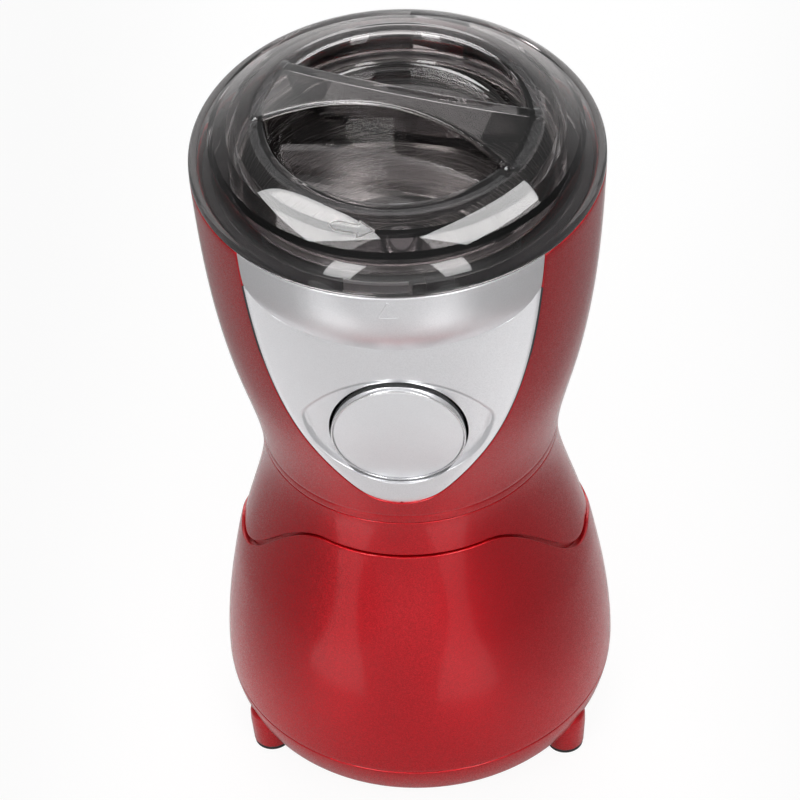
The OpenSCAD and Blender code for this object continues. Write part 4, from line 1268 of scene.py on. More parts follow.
    def bottom_cover(self) -> None:
        """Builds the bottom cover with its rim, its air slots and its screw holes."""
        body, floor = self.body, self.floor_t
        z = np.linspace(0.9, body.cover_z - body.seam_gap / 2, 12)
        flank = pairs(body.base(z), z)
        side_r, side_z = flank[-1][0] - body.wall, flank[-1][1]
        rim_r, rim_z = side_r - body.slip_gap, body.cover_z + 4
        rim_in = rim_r - self.hidden_t
        corners = ([(0.0, 0.0), (float(body.base(0)) - 0.2, 0.0)] + flank
                   + [(side_r, side_z), (side_r - 1.2, floor), (rim_r, floor), (rim_r, rim_z),
                      (rim_in, rim_z), (rim_in, floor), (0.0, floor)])
        radii = [0.0, 1.0] + [0.0] * (len(flank) - 1) + [0.35, 0.2, 0, 0, 0.3, 0.3, 0, 0]
        piece = Workpiece("underside")
        piece.lathe(rounded(corners, radii, 4, closed=False), 216, on_axis=True)
        half_w = self.slot_w / 2
        for row in range(-4, 5):
            y = row * self.slot_step
            half = math.sqrt(self.slots_r**2 - y**2) - half_w
            piece.cut(Workpiece("slot").block((-half, y - half_w, -1), (half, y + half_w, 3)))
        head_r, hole_r = self.screw_head_r, self.screw_hole_r
        step = [(0.0, -2.0), (head_r, -2.0), (head_r, 0.8), (hole_r, 0.8), (hole_r, 4.0),
                (0.0, 4.0)]
        for angle in self.screw_angles:
            a = math.radians(angle)
            spot = (self.screw_ring_r * math.cos(a), self.screw_ring_r * math.sin(a), 0)
            piece.cut(Workpiece("hole").lathe(step, 48, centre=spot, on_axis=True))
        piece.finish(self.finishes.of("red_flake"), "housing", ["bottom_cover"])

    def legs(self) -> None:
        """Builds the three legs, which are rounded into the flank of the cover."""
        foot, leg_r = self.pad_t - self.body.leg_h, self.leg_top_r
        corners = [(0.0, foot), (self.leg_foot_r, foot), (leg_r, 0.0), (leg_r, 3.4), (3.2, 5.0),
                   (0.0, 5.0)]
        piece = Workpiece("legs_red")
        piece.lathe(rounded(corners, [0, 0.5, 2.0, 1.6, 1.0, 0], 6, closed=False), 72,
                    centre=(self.leg_ring_r, 0, 0), on_axis=True)
        piece.ring_of(self.leg_angles)
        piece.finish(self.finishes.of("red_flake"), "housing", ["legs"])

    def foot_pads(self) -> None:
        """Builds the rubber pads under the legs."""
        low, top = -self.body.leg_h, -self.body.leg_h + self.pad_t
        pad_r = self.leg_foot_r - 0.2
        corners = [(0.0, low + 0.25), (pad_r - 1.3, low + 0.25), (pad_r - 1.0, low),
                   (pad_r - 0.3, low), (pad_r, low + 0.3), (pad_r, top), (0.0, top)]
        piece = Workpiece("pads")
        piece.lathe(rounded(corners, [0, 0, 0.1, 0.1, 0.1, 0.2, 0], 3, closed=False), 64,
                    centre=(self.leg_ring_r, 0, 0), on_axis=True)
        piece.ring_of(self.leg_angles)
        piece.finish(self.finishes.of("black_rubber"), "housing", ["foot_pads"])


@dataclass
class Front:
    """The silver shield, the collar above it, and the button with its ring and guide."""

    finishes: Finishes
    shield: Shield = field(default_factory=Shield)
    deck_z: float = 171.5
    deck_t: float = 2.0
    deck_hole_r: float = 38.1
    skirt_r: float = 47.0
    skirt_t: float = 2.0
    lug_r: float = 45.8
    lock_ring_r: float = 44.5
    lock_ring_z: float = 172.1
    hook_angles: tuple[float, ...] = (-75.0, 45.0, 165.0)
    hook_w: float = 8.0
    button_r: float = 16.35
    button_z: float = 117.7
    button_face: float = 38.1
    button_travel: float = 3.2
    button_slant: float = 0.093
    ring_t: float = 0.45
    ring_back: float = 33.0
    cap_back: float = 32.0
    disc_r: float = 10.9
    stem_r: float = 3.5
    stem_back: float = 25.6
    guide_r: float = 18.6
    guide_front: float = 34.3
    guide_back: float = 27.5
    sleeve_r: float = 3.56
    arm_x: float = 12.15
    arm_back: float = 11.5
    spring_turns: int = 4
    spring_wire_r: float = 0.3
    spring_r: float = 6.0

    def build(self) -> None:
        """Builds the pieces of the front."""
        self.front_panel()
        self.bowl_surround()
        self.pulse_button()
        self.button_ring()
        self.button_guide()
        self.button_spring()

    def _outline(self, count: int, horn: int) -> np.ndarray:
        """Returns the right half of the shield's outline from its tip up and back to the middle.

        Args:
            count: Number of points.
            horn: Index of the point at the upper corner.

        Returns:
            Points (x, z) from the tip round the horn to the middle of the upper edge.
        """
        shield, samples, clear = self.shield, 600, 0.25
        tip = shield.tip_z
        z = tip + (shield.cheek_top_z - tip) * np.linspace(0, 1, samples) ** 1.8
        side = np.stack([shield.half_w(z) - shield.seam, z], -1)
        side[0] = (0.0, tip + shield.seam)
        side = side[(side[:, 0] > clear) | (np.arange(samples) == 0)]
        side = side[side[:, 1] < shield.crease_z(side[:, 0]) - clear]
        x = np.linspace(side[-1, 0], 0, samples // 2)
        top = np.stack([x, shield.crease_z(x)], -1)[1:]
        across = evenly(np.vstack([side[-1:], top]), count - horn)
        return np.vstack([evenly(side, horn + 1), across[1:]])

    def _stations(self, hole: np.ndarray, way: np.ndarray, length: np.ndarray) -> np.ndarray:
        """Returns where the shield has its rows, close together round the dish and the edge.

        Args:
            hole: Outline (x, z) of the hole.
            way: Way from there to the shield's outline.
            length: Length of the way, as a column.

        Returns:
            Shares of the way with the shape (columns, rows).
        """
        shield, spare, rim = self.shield, 0.3, 3.2
        share = np.linspace(0, 1, 400)
        probe = hole[:, None] + way[:, None] * share[:, None]
        inside = shield.dish(probe[..., 0], probe[..., 1]) < 0
        last = len(share) - 1 - inside[:, ::-1].argmax(1)
        cross = np.where(inside.any(1), share[last], 0.0)[:, None]
        floor = np.maximum(cross * length - shield.dish_fillet - spare, 0)
        bend = shield.dish_fillet + 2 * spare
        marks = [np.linspace(0, 1, 7)[:-1] * floor, floor + np.linspace(0, bend, 14)[:-1],
                 floor + bend + np.linspace(0, 1, 12)[:-1] * (length - rim - floor - bend),
                 length - rim + rim * (1 - (1 - np.linspace(0, 1, 14)) ** 1.6)]
        run = np.clip(np.concatenate(marks, 1) / length, 0, 1)
        run = np.maximum.accumulate(run + np.arange(run.shape[1]) * 1e-6, 1)
        return np.minimum(run, 1.0)

    def front_panel(self) -> None:
        """Builds the shield as one closed band that runs from the hole round its edge and back."""
        shield = self.shield
        count, horn, horn_angle = 181, 118, 52
        index = np.arange(count)
        angle = np.radians(np.where(
            index <= horn, -90 + (90 + horn_angle) * index / horn,
            horn_angle + (90 - horn_angle) * (index - horn) / (count - 1 - horn)))
        edge = mirrored(self._outline(count, horn))
        hole = mirrored(np.stack([shield.hole_r * np.cos(angle),
                                  shield.hole_z + shield.hole_r * np.sin(angle)], -1))
        way = edge - hole
        length = np.linalg.norm(way, axis=1)[:, None]
        run = self._stations(hole, way, length)
        flat = hole[:, None] + way[:, None] * run[..., None]
        x, z = flat[..., 0], flat[..., 1]
        pillow = shield.pillow * np.clip(1 - (1 - run) * length / 3.0, 0, 1) ** 2.6
        front = np.stack([x, shield.dish_depth(x, z) + pillow - shield.face(x), z], -1)
        sill = [front[:, :1] + np.array([0.0, inward, 0.0]) for inward in (0.6, 0.25)]
        edge_y = front[:, -1:, 1]
        inner = self._inner_edge(edge, edge_y)
        middle = 0.5 * front[:, -1:] + 0.5 * inner
        back = np.stack([hole[:, :1], shield.thick - shield.face(hole[:, :1]), hole[:, 1:]], -1)
        between = inner + (back - inner) * np.linspace(0.1, 0.9, 6)[None, :, None]
        between[..., 1] = shield.thick - shield.face(between[..., 0])
        piece = Workpiece("shield")
        piece.sheet(np.concatenate([back, *sill, front, middle, inner, between, back], 1))
        piece.finish(self.finishes.of("silver_paint"), "housing", ["front_panel"], 35.0)
        self._gap_shade_strip(edge, edge_y[:, 0], horn)

    def _gap_shade_strip(self, edge: np.ndarray, edge_y: np.ndarray, horn: int) -> None:
        """Builds a black strip behind the gap between the shield and the housing, a dark sheet that
        paints the shade in the gap.

        Args:
            edge: The outline (x, z) all the way round.
            edge_y: Y of the face along it.
            horn: Number of points from the tip to an upper corner.
        """
        keep = np.r_[len(edge) - 1 - horn:len(edge) - 1, 0:horn + 1]
        line, y = edge[keep], edge_y[keep]
        along = np.gradient(line, axis=0)
        along /= np.linalg.norm(along, axis=1)[:, None]
        out = np.stack([along[:, 1], -along[:, 0]], -1)
        rows, near, far = [], -0.05, self.shield.seam + 0.12
        for beyond, deep in ((near, 0.06), (far, 0.1), (far, 1.4), (near, 1.4), (near, 0.06)):
            place = line + out * beyond
            rows.append(np.stack([place[:, 0], y + deep, place[:, 1]], -1))
        # Painted shade: a black strip where the gap between the shield and the housing is only in
        # shade.
        piece = Workpiece("shield_gap_shade")
        piece.sheet(np.stack(rows, 1)).cap_ends()
        piece.finish(self.finishes.of("black_plastic"), "housing", [])

    def _inner_edge(self, edge: np.ndarray, edge_y: np.ndarray) -> np.ndarray:
        """Returns the shield's inner edge, drawn towards the axis and under the collar.

        Args:
            edge: The outline (x, z).
            edge_y: Y of the face along it.

        Returns:
            Points with the shape (columns, 1, 3).
        """
        crease = np.abs(edge[:, 1] - self.shield.crease_z(edge[:, 0])) < 0.2
        fade = np.clip((self.shield.cheek_top_z - edge[:, 1]) / 8.0, 0.15, 1.0)
        share = 1 - self.shield.thick / np.hypot(edge[:, 0], edge_y[:, 0]) * fade
        drop = np.where(crease, 1.3, 0.0) * fade
        return np.stack([edge[:, 0] * share, edge_y[:, 0] * share, edge[:, 1] - drop], -1)[:, None]

    def bowl_surround(self) -> None:
        """Builds the silver collar, and the black deck with its skirt and its hooks."""
        self._collar()
        low, top = self.shield.body.top_z - 9.2, self.deck_z
        under, skirt_in = top - self.deck_t, self.skirt_r - self.skirt_t
        deck = rounded([(self.skirt_r, low), (self.skirt_r, top), (self.deck_hole_r, top),
                        (self.deck_hole_r, under), (skirt_in, under), (skirt_in, low)],
                       [0.2, 0.5, 0.3, 0.3, 0.5, 0.2], 3)
        riser_out, riser_in = self.skirt_r - 0.15, self.lug_r + 0.3
        lip_in, lip_z = self.lock_ring_r + 0.3, self.lock_ring_z + 1.9
        hook = rounded([(riser_out, top - 1), (riser_out, lip_z + 1.2), (lip_in, lip_z + 1.2),
                        (lip_in, lip_z), (riser_in, lip_z), (riser_in, top - 1)],
                       [0, 0.4, 0.3, 0.2, 0.1, 0], 3)
        piece = Workpiece("deck")
        piece.lathe(deck, 216)
        for angle in self.hook_angles:
            piece.bend(hook, angle, self.hook_w / 2, 12)
        piece.finish(self.finishes.of("black_plastic"), "housing", [], 40.0)

    def _collar(self) -> None:
        """Builds the collar as a patch of a ring, with a small raised triangle in its middle."""
        shield, body = self.shield, self.shield.body
        foot = shield.collar_z - shield.collar_h
        z = np.concatenate([foot + (shield.collar_z - foot) * np.linspace(0, 1, 60),
                            [body.top_z - 1.2, body.top_z - 0.5, body.top_z]])
        radius = shield.collar(z)
        window = shield.half_w(z) - body.slip_gap
        x = np.linspace(0, 1, 200)[None] * radius[:, None]
        y = np.sqrt(np.clip(radius[:, None] ** 2 - x**2, 0, None))
        before = y > shield.face(x) - shield.thick + 0.4
        behind = np.where(before, x, 0).max(1)
        limit = np.arcsin(np.clip(np.minimum(window, np.maximum(behind, 1.0)) / radius, 0, 1))
        azimuth = np.linspace(-1, 1, 161)[:, None] * limit

        def wrap(flat: np.ndarray, up: float) -> np.ndarray:
            """Returns the places of flat points (x, z) at a height over the collar."""
            x, z = flat.T
            return np.stack([x, -np.sqrt((shield.collar(z) + up) ** 2 - x**2), z], -1)

        piece = Workpiece("collar")
        piece.sheet(around(azimuth, radius, z)).wall(body.wall).soften(0.3, 50)
        piece.bead([(0.0, 171.8), (2.5, 166.8), (-2.5, 166.8)],
                   [(-0.3, -0.25), (-0.22, 0.1), (0.0, 0.17), (0.22, 0.1), (0.3, -0.25)], wrap)
        piece.finish(self.finishes.of("silver_paint"), "housing", ["bowl_surround"], 40.0)

    def pulse_button(self) -> None:
        """Builds the button's cap with its faint inner disc, its skirt and its stem."""
        r, face = self.button_r - self.ring_t - 0.05, -self.button_face
        back, stem = -self.cap_back, -self.stem_back
        corners = [(0.0, face - 0.10), (self.disc_r - 0.3, face - 0.08), (self.disc_r, face),
                   (r, face + 0.1), (r, face + 2.0), (r - 0.4, face + 2.0), (r - 0.4, back),
                   (r - 1.8, back), (r - 1.8, face + 3.0), (self.stem_r, face + 3.0),
                   (self.stem_r, stem), (0.0, stem)]
        section = rounded(corners, [0, 0, 0, 0.45, 0.1, 0.1, 0.2, 0.2, 0.4, 0.6, 0.4, 0],
                          4, closed=False)
        piece = Workpiece("button_cap")
        piece.lathe(section, 180, Axis.BACK, (0, 0, self.button_z), on_axis=True)
        piece.slant(face + 3.1, self.button_slant, self.button_z)
        piece.finish(self.finishes.of("button_silver"), "button", ["pulse_button"])

    def button_ring(self) -> None:
        """Builds the chrome ring round the cap."""
        r, front = self.button_r, -self.button_face - 0.1
        section = rounded([(r, front), (r, -self.ring_back), (r - self.ring_t, -self.ring_back),
                           (r - self.ring_t, front)], [0.3, 0.1, 0.1, 0.12], 6)
        piece = Workpiece("chrome_ring")
        piece.lathe(section, 216, Axis.BACK, (0, 0, self.button_z))
        piece.slant(front + 1.0, self.button_slant, self.button_z)
        piece.finish(self.finishes.of("chrome_trim"), "button", ["button_ring"])

    def button_guide(self) -> None:
        """Builds the black guide and the two arms that hold the switch."""
        back, front, z = -self.guide_back, -self.guide_front, self.button_z
        floor = back + 1.5
        hole_r, sleeve_r = self.shield.hole_r, self.sleeve_r
        section = rounded([(hole_r, back), (hole_r, front), (self.guide_r, front),
                           (self.guide_r, floor), (sleeve_r, floor), (sleeve_r, back)],
                          [0.3, 0.15, 0.2, 0.4, 0.1, 0.1], 3)
        piece = Workpiece("guide")
        piece.lathe(section, 180, Axis.BACK, (0, 0, z))
        for x in (-self.arm_x, self.arm_x):
            piece.block((x - 1, floor - 0.2, z - 4), (x + 1, -self.arm_back, z + 4)).soften(0.3)
        piece.finish(self.finishes.of("black_plastic"), "housing", ["button_guide"])

    def button_spring(self) -> None:
        """Builds the button's coil spring, from the guide's floor to the cap's underside."""
        turns, wire_r = self.spring_turns, self.spring_wire_r
        start, end = self.guide_back + wire_r, self.button_face - 3.5
        t = np.linspace(0, 1, 48 * turns + 1)[:, None]
        lift = start + (end - start) * smoothstep(0.5 + (t - 0.5) * 1.12)
        round_wire = np.linspace(0, 2 * math.pi, 13)
        reach = self.spring_r + wire_r * np.cos(round_wire)
        turn = 2 * math.pi * turns * t
        piece = Workpiece("cap_spring")
        piece.sheet(np.stack([reach * np.cos(turn), -(lift + wire_r * np.sin(round_wire)),
                              self.button_z + reach * np.sin(turn)], -1)).cap_ends()
        coil = piece.finish(self.finishes.of("spring_steel"), "housing", ["button_spring"])
        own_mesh(coil)


# ---- lid and bowl -----------------------------------------------------------------------------


@dataclass
class Lid:
    """The smoke dome with its scoops, its grip, its rings, its lugs and its ramp."""

    finishes: Finishes
    lid_z: float = 173.5
    edge_h: float = 1.6
    top_r: float = 50.0
    crown_r: float = 34.5
    crown_z: float = 186.7
    dome_power: float = 1.53
    thick: float = 2.0
    scoop_r: float = 31.5
    floor_r: float = 28.2
    floor_z: float = 179.2
    grip_half: float = 32.5
    grip_mid: float = 3.9
    grip_end: float = 12.0
    grip_rise: float = 6.0
    grip_angle: float = -16.0
    seal_ring: Corner = (40.1, 38.1)
    seal_ring_z: float = 175.0
    lock_ring: Corner = (44.5, 43.1)
    lock_ring_z: float = 172.1
    lug_r: float = 45.8
    lug_t: float = 1.5
    lug_w: float = 20.0
    lug_angle: float = -93.0
    lock_angle: float = 18.0
    rod_ring_r: float = 41.6
    ramp_low: float = 172.6
    ramp_rise: float = 2.4
    ramp_toe: float = -1.7
    arrow_r: float = 39.6
    arrow_shift: float = -4.2
    columns: int = 360

    def build(self) -> None:
        """Builds the lid as one closed skin, and the arrow and the tab on it."""
        piece = Workpiece("smoke_lid")
        azimuth = np.linspace(0, 2 * math.pi, self.columns + 1) + math.radians(self.grip_angle)
        piece.sheet(self._ring(azimuth), merged=False)
        for outside in (True, False):
            piece.sheet(self._middle(outside), merged=False)
        piece.merge()
        piece.finish(self.finishes.of("smoke_lid"), "lid", ["lid"], 32.0)
        marks = Workpiece("lid_marks")
        self._arrow(marks)
        self._tab(marks)
        marks.finish(self.finishes.frosted, "lid", [], 32.0)

    def _dome(self, count: int) -> tuple[np.ndarray, np.ndarray, np.ndarray]:
        """Returns the outer skin of the dome.

        Args:
            count: Number of points, from the crown down to the rim.

        Returns:
            The angle of the dome's slope, the radius and the height of each point.
        """
        slope = np.linspace(math.pi / 2, 0, count)
        radius = self.crown_r + (self.top_r - self.crown_r) * np.cos(slope) ** self.dome_power
        low = self.lid_z + self.edge_h
        return slope, radius, low + (self.crown_z - low) * np.sin(slope)

    def _grip_plan(self, u: np.ndarray) -> np.ndarray:
        """Returns the half width of the grip.

        Args:
            u: Distances from the middle along the grip.

        Returns:
            A half width for each distance.
        """
        sag = self.grip_end - self.grip_mid
        r = (self.grip_half**2 + sag**2) / (2 * sag)
        u = np.clip(u, -self.grip_half, self.grip_half)
        return self.grip_mid + r - np.sqrt(r * r - u**2)

    def height(self, x: np.ndarray, y: np.ndarray, outside: bool) -> np.ndarray:
        """Returns the height of the scoops and the grip inside the crown ring.

        Args:
            x: Places along X.
            y: Places along Y.
            outside: Whether the outer skin is meant.

        Returns:
            A height for each place.
        """
        thin = 0.0 if outside else self.thick
        foot, edge, foot_fillet, edge_fillet, grip_fillet = (
            (0.0, -0.2, 2.2, 0.9, 0.9) if outside else (1.34, 1.14, 3.5, 0.4, 0.4))
        low, high = self.floor_z - thin, self.crown_z - thin
        line = rounded([(0, low), (self.floor_r + foot, low), (self.scoop_r + edge, high),
                        (self.crown_r + 9, high)], [0, foot_fillet, edge_fillet, 0], 8,
                       closed=False)
        base = np.interp(np.hypot(x, y), *zip(*line))
        turn = math.radians(self.grip_angle)
        u = x * math.cos(turn) + y * math.sin(turn)
        v = -x * math.sin(turn) + y * math.cos(turn)
        rise = self.grip_rise
        arch_r = (self.grip_half**2 + rise**2) / (2 * rise)
        arch = self.crown_z + rise - arch_r - thin + np.sqrt(arch_r**2 - u * u)
        steep = 14.0
        side = rounded([(-20, 0), (0, 0), (1.0, -steep)], [0, grip_fillet, 0], 8, closed=False)
        beyond = np.abs(v) - self._grip_plan(u) + thin
        fall = np.where(beyond > 1.0, -steep * beyond, np.interp(beyond, *zip(*side)))
        return soft_max(base, arch + fall, 0.7)

    def _ring(self, azimuth: np.ndarray) -> np.ndarray:
        """Returns the closed turn of sections from the scoop's edge over the rim and back.

        Args:
            azimuth: Directions from +X, in radians.

        Returns:
            Points with the shape (columns, rows, 3).
        """
        slope, out_r, out_z = self._dome(34)
        in_r = (out_r - self.thick * np.cos(slope))[::-1]
        in_z = (out_z - self.thick * np.sin(slope))[::-1]
        low, out, inner = self.lid_z, self.top_r, self.top_r - self.thick
        rim = [(out, low + 0.35), (out - 0.1, low + 0.1), (out - 0.35, low),
               (inner + 0.35, low), (inner + 0.1, low + 0.1), (inner, low + 0.35)]
        crown = np.linspace(self.scoop_r, self.crown_r, 8)
        sections = []
        for a in azimuth:
            x, y = crown * math.cos(a), crown * math.sin(a)
            top = list(zip(crown, self.height(x, y, True)))
            under = list(zip(crown, self.height(x, y, False)))[::-1]
            sections.append(top[:-1] + list(zip(out_r, out_z)) + rim
                            + self._inside(math.degrees(a), in_r, in_z) + under[1:])
        radius, z = np.moveaxis(np.array(sections), -1, 0)
        return turned(azimuth[:, None], radius, z)

    def _inside(self, angle: float, in_r: np.ndarray, in_z: np.ndarray) -> Section:
        """Returns the inner skin from the rim to the crown, with both rings.

        Args:
            angle: Direction in degrees.
            in_r: Radii of the plain inner skin, from the rim inwards.
            in_z: Heights of the plain inner skin.

        Returns:
            The section.
        """
        def skin(radius: float) -> float:
            """Returns the height of the plain inner skin at a radius."""
            return float(np.interp(-radius, -in_r, in_z))

        from_lug = min(abs(math.remainder(angle - self.lug_angle - 120 * k, 360.0))
                       for k in range(3))
        lock_out, lock_in = self.lock_ring
        seal_out, seal_in = self.seal_ring
        reach = self.lug_r if from_lug <= self.lug_w / 2 else lock_out
        shelf = self.lock_ring_z + self.lug_t
        line = [(r, z) for r, z in pairs(in_r, in_z) if r > lock_out + 0.4]
        line += [(lock_out, skin(lock_out)), (lock_out, shelf + 0.02), (reach, shelf),
                 (reach, self.lock_ring_z + 0.2), (reach - 0.2, self.lock_ring_z),
                 (lock_in + 0.2, self.lock_ring_z), (lock_in, self.lock_ring_z + 0.2)]
        line += [(r, min(skin(r), self._ramp(angle)))
                 for r in (lock_in, self.rod_ring_r, seal_out)]
        line += [(seal_out, self.seal_ring_z + 0.2), (seal_out - 0.2, self.seal_ring_z),
                 (seal_in + 0.2, self.seal_ring_z), (seal_in, self.seal_ring_z + 0.2)]
        line += [(float(r), skin(r)) for r in np.linspace(seal_in, self.crown_r, 8)]
        return line

    def _ramp(self, angle: float) -> float:
        """Returns the height of the ramp that presses the interlock's rod.

        Args:
            angle: Direction in degrees.

        Returns:
            The height, without limit where there is no ramp.
        """
        middle = 90.0 - self.lock_angle
        arc = math.radians(math.remainder(angle - middle, 360.0)) * self.rod_ring_r
        run = self.rod_ring_r * math.radians(self.lock_angle)
        if not self.ramp_toe - 1.6 <= arc <= self.ramp_toe + run:
            return math.inf
        return self.ramp_low + self.ramp_rise * max(0.0, (arc - self.ramp_toe) / run)

    def _middle(self, outside: bool) -> np.ndarray:
        """Returns the disc inside the crown ring as lines across the grip.

        Args:
            outside: Whether the outer skin is meant.

        Returns:
            Points with the shape (lines, stations, 3).
        """
        alpha = np.linspace(0, math.pi, self.columns // 2 + 1)
        u, end = self.scoop_r * np.cos(alpha), self.scoop_r * np.sin(alpha)
        plan = self._grip_plan(u) - (0.0 if outside else self.thick)
        bottom = self.floor_r - (3.0 if outside else 3.4)
        floor = np.sqrt(np.clip(bottom**2 - u * u, 0, None))
        marks = [np.zeros_like(u), np.minimum(plan - 1.0, end), np.minimum(plan + 1.2, end),
                 np.minimum(np.maximum(floor, plan + 1.2), end), end]
        steps = []
        for low, high, count in zip(marks, marks[1:], (7, 14, 12, 18)):
            share = np.linspace(0, 1, count + 1)[1:]
            steps.append(low[:, None] + (high - low)[:, None] * share)
        right = np.concatenate(steps, 1)
        v = np.concatenate([-right[:, ::-1], np.zeros((len(u), 1)), right], 1)
        turn = math.radians(self.grip_angle)
        x = u[:, None] * math.cos(turn) - v * math.sin(turn)
        y = u[:, None] * math.sin(turn) + v * math.cos(turn)
        return np.stack([x, y, self.height(x, y, outside)], -1)

    def _tab(self, piece: Workpiece) -> None:
        """Adds the frosted patch behind the rim that shows where the front lug is.

        Args:
            piece: The marks on the lid.
        """
        out, low = self.top_r - self.thick - 0.1, self.lid_z + 0.6
        piece.bend([(out, low), (out, low + 2.6), (out - 0.3, low + 2.6), (out - 0.3, low)],
                   self.lug_angle, self.lug_w / 2 - 1, 18)

    def _arrow(self, piece: Workpiece) -> None:
        """Adds the thin raised outline of an arrow on the dome, pointing the way it locks.

        Args:
            piece: The marks on the lid.
        """
        _, dome_r, dome_z = self._dome(200)

        def wrap(flat: np.ndarray, up: float) -> np.ndarray:
            """Wraps flat points onto the dome.

            Args:
                flat: Points (along the rim, inwards).
                up: Height over the dome.

            Returns:
                A place for each point.
            """
            r = self.arrow_r - flat[:, 1]
            turn = (flat[:, 0] + self.arrow_shift) / self.arrow_r - math.pi / 2
            return turned(turn, r, np.interp(r, dome_r, dome_z) + up)

        piece.bead([(-9.6, 0.0), (-8.0, 1.1), (-2.6, 1.0), (-2.6, 2.0), (1.2, 0.0), (-2.6, -2.0),
                    (-2.6, -1.0), (-8.0, -1.1)],
                   [(-0.2, -0.1), (-0.14, 0.08), (0.0, 0.14), (0.14, 0.08), (0.2, -0.1)], wrap)


@dataclass
class Bowl:
    """The steel bowl, its seal, the blade and what turns in it."""

    finishes: Finishes
    shield: Shield = field(default_factory=Shield)
    bowl_r: float = 37.6
    flange_r: float = 40.1
    sheet_t: float = 0.8
    rim_z: float = 172.3
    bottom_z: float = 138.0
    seal_z: float = 172.6
    seal_t: float = 2.1
    hub_r: float = 5.45
    knee_z: float = 139.6
    lip_r: float = 3.06
    blade_z: float = 143.2
    blade_r: float = 27.48
    blade_t: float = 1.4
    blade_bend: float = 0.68
    shaft_r: float = 3.0

    def build(self) -> None:
        """Builds the pieces of the bowl."""
        self.grinding_bowl()
        self.lid_seal()
        self.shaft_seal()
        self.blade()
        self.blade_nut()

    def _outer(self, z: np.ndarray) -> np.ndarray:
        """Returns the bowl's outer radius at heights z."""
        return np.minimum(self.bowl_r, self.shield.collar(z) - 2.8)

    def grinding_bowl(self) -> None:
        """Builds the bowl of spun sheet with its rolled flange and its rounded bottom."""
        z = np.linspace(self.knee_z + 1.9, self.rim_z - 1.2, 24)
        outer = pairs(self._outer(z), z)
        inner = [(r - self.sheet_t, h) for r, h in reversed(outer)]
        low, seat = self.bottom_z, self.bottom_z + self.sheet_t
        rim, under = self.rim_z, self.rim_z - self.sheet_t
        knee = float(self._outer(np.array(self.knee_z)))
        corners = ([(self.hub_r, low), (knee - 1.0, low)] + outer
                   + [(self.bowl_r, under), (self.flange_r, under), (self.flange_r, rim),
                      (self.bowl_r - self.sheet_t, rim)]
                   + inner + [(knee - 1.4, seat), (self.hub_r, seat)])
        plain = [0.0] * len(outer)
        radii = [0, 2.2] + plain + [0.1, 0.3, 0.3, 0.7] + plain + [1.8, 0]
        piece = Workpiece("bowl")
        piece.lathe(rounded(corners, radii, 5), 216)
        piece.finish(self.finishes.of("bowl_steel"), "housing", ["grinding_bowl"])

    def lid_seal(self) -> None:
        """Builds the soft ring between the lid and the bowl's flange, with two lips."""
        out, inner, low = self.flange_r - 0.2, self.bowl_r + 0.3, self.seal_z
        high = low + self.seal_t
        corners = [(inner, low), (inner + 0.7, low), (inner + 1.0, low + 0.3),
                   (out - 0.7, low + 0.3), (out - 0.4, low), (out, low), (out, high),
                   (inner, high)]
        piece = Workpiece("seal_ring")
        piece.lathe(rounded(corners, [0.2, 0.2, 0.1, 0.1, 0.1, 0.2, 0.4, 0.4], 3), 180)
        piece.finish(self.finishes.of("clear_silicone"), "seal", ["lid_seal"])

    def shaft_seal(self) -> None:
        """Builds the rubber seal round the shaft."""
        low, seat = self.bottom_z, self.bottom_z + self.sheet_t
        corners = [(self.lip_r, low - 2.4), (5.3, low - 2.4), (5.3, seat), (8.0, seat),
                   (8.0, seat + 1.0), (4.2, seat + 1.4), (self.lip_r, seat + 1.4)]
        piece = Workpiece("shaft_lip")
        piece.lathe(rounded(corners, [0.2, 0.3, 0.1, 0.2, 0.4, 0.4, 0.2], 3), 96)
        piece.finish(self.finishes.of("black_rubber"), "housing", ["shaft_seal"])

    def blade(self) -> None:
        """Builds the flat blade with ground edges and tips that are bent up."""
        x = np.concatenate([np.linspace(-1, -0.66, 14), np.linspace(-0.64, 0.64, 33),
                            np.linspace(0.66, 1, 14)]) * self.blade_r
        share = np.abs(x) / self.blade_r
        flat = share < self.blade_bend
        half = 4.5 + np.clip(1 - np.abs(x) / 7, 0, 1)
        tip = np.clip((share - self.blade_bend) / (1 - self.blade_bend), 0, 1)
        lead = np.where(flat, half, 4.5 * (1 - tip**2.2) + 0.15)
        trail = np.where(flat, half, np.where(share > 0.985, 2.2, 4.5 - 1.6 * tip))
        bend = np.clip(np.abs(x) - self.blade_bend * self.blade_r, 0, None)
        lift = bend * np.tan(np.radians(np.where(x > 0, 22.0, 11.0)))
        flip = np.where(x > 0, 1.0, -1.0)
        rows = []
        for across, up in ((1.0, 0.28), (0.78, 1.0), (-0.78, 1.0), (-1.0, 0.6), (-1.0, 0.2),
                           (-0.96, 0.0), (0.96, 0.0), (1.0, 0.1), (1.0, 0.28)):
            width = np.where(across * flip > 0, lead, trail)
            rows.append(np.stack([x * (1 - 0.04 * tip), across * width,
                                  self.blade_z + up * self.blade_t + lift], -1))
        piece = Workpiece("cutter")
        piece.sheet(np.stack(rows, 1)).cap_ends()
        piece.cut(Workpiece("hole").stud(self.shaft_r, 8, (0, 0, self.blade_z), sides=48))
        piece.finish(self.finishes.of("blade_steel"), "rotor", ["blade"])

    def blade_nut(self) -> None:
        """Builds the domed hexagon nut."""
        low = self.blade_z + self.blade_t
        dome = rounded([(self.shaft_r, low), (4.6, low), (4.6, low + 4.2), (4.0, low + 4.5),
                        (self.shaft_r, low + 4.5)], [0, 0, 0.4, 0.3, 0.2], 3)
        piece = Workpiece("nut")
        piece.stud(5.6, 3.5, (0, 0, low + 1.75), sides=6)
        piece.soften(0.4)
        piece.cut(Workpiece("hole").stud(self.shaft_r, 12, (0, 0, low + 2), sides=48))
        piece.lathe(dome, 72)
        piece.finish(self.finishes.of("blade_steel"), "rotor", ["blade_nut"])


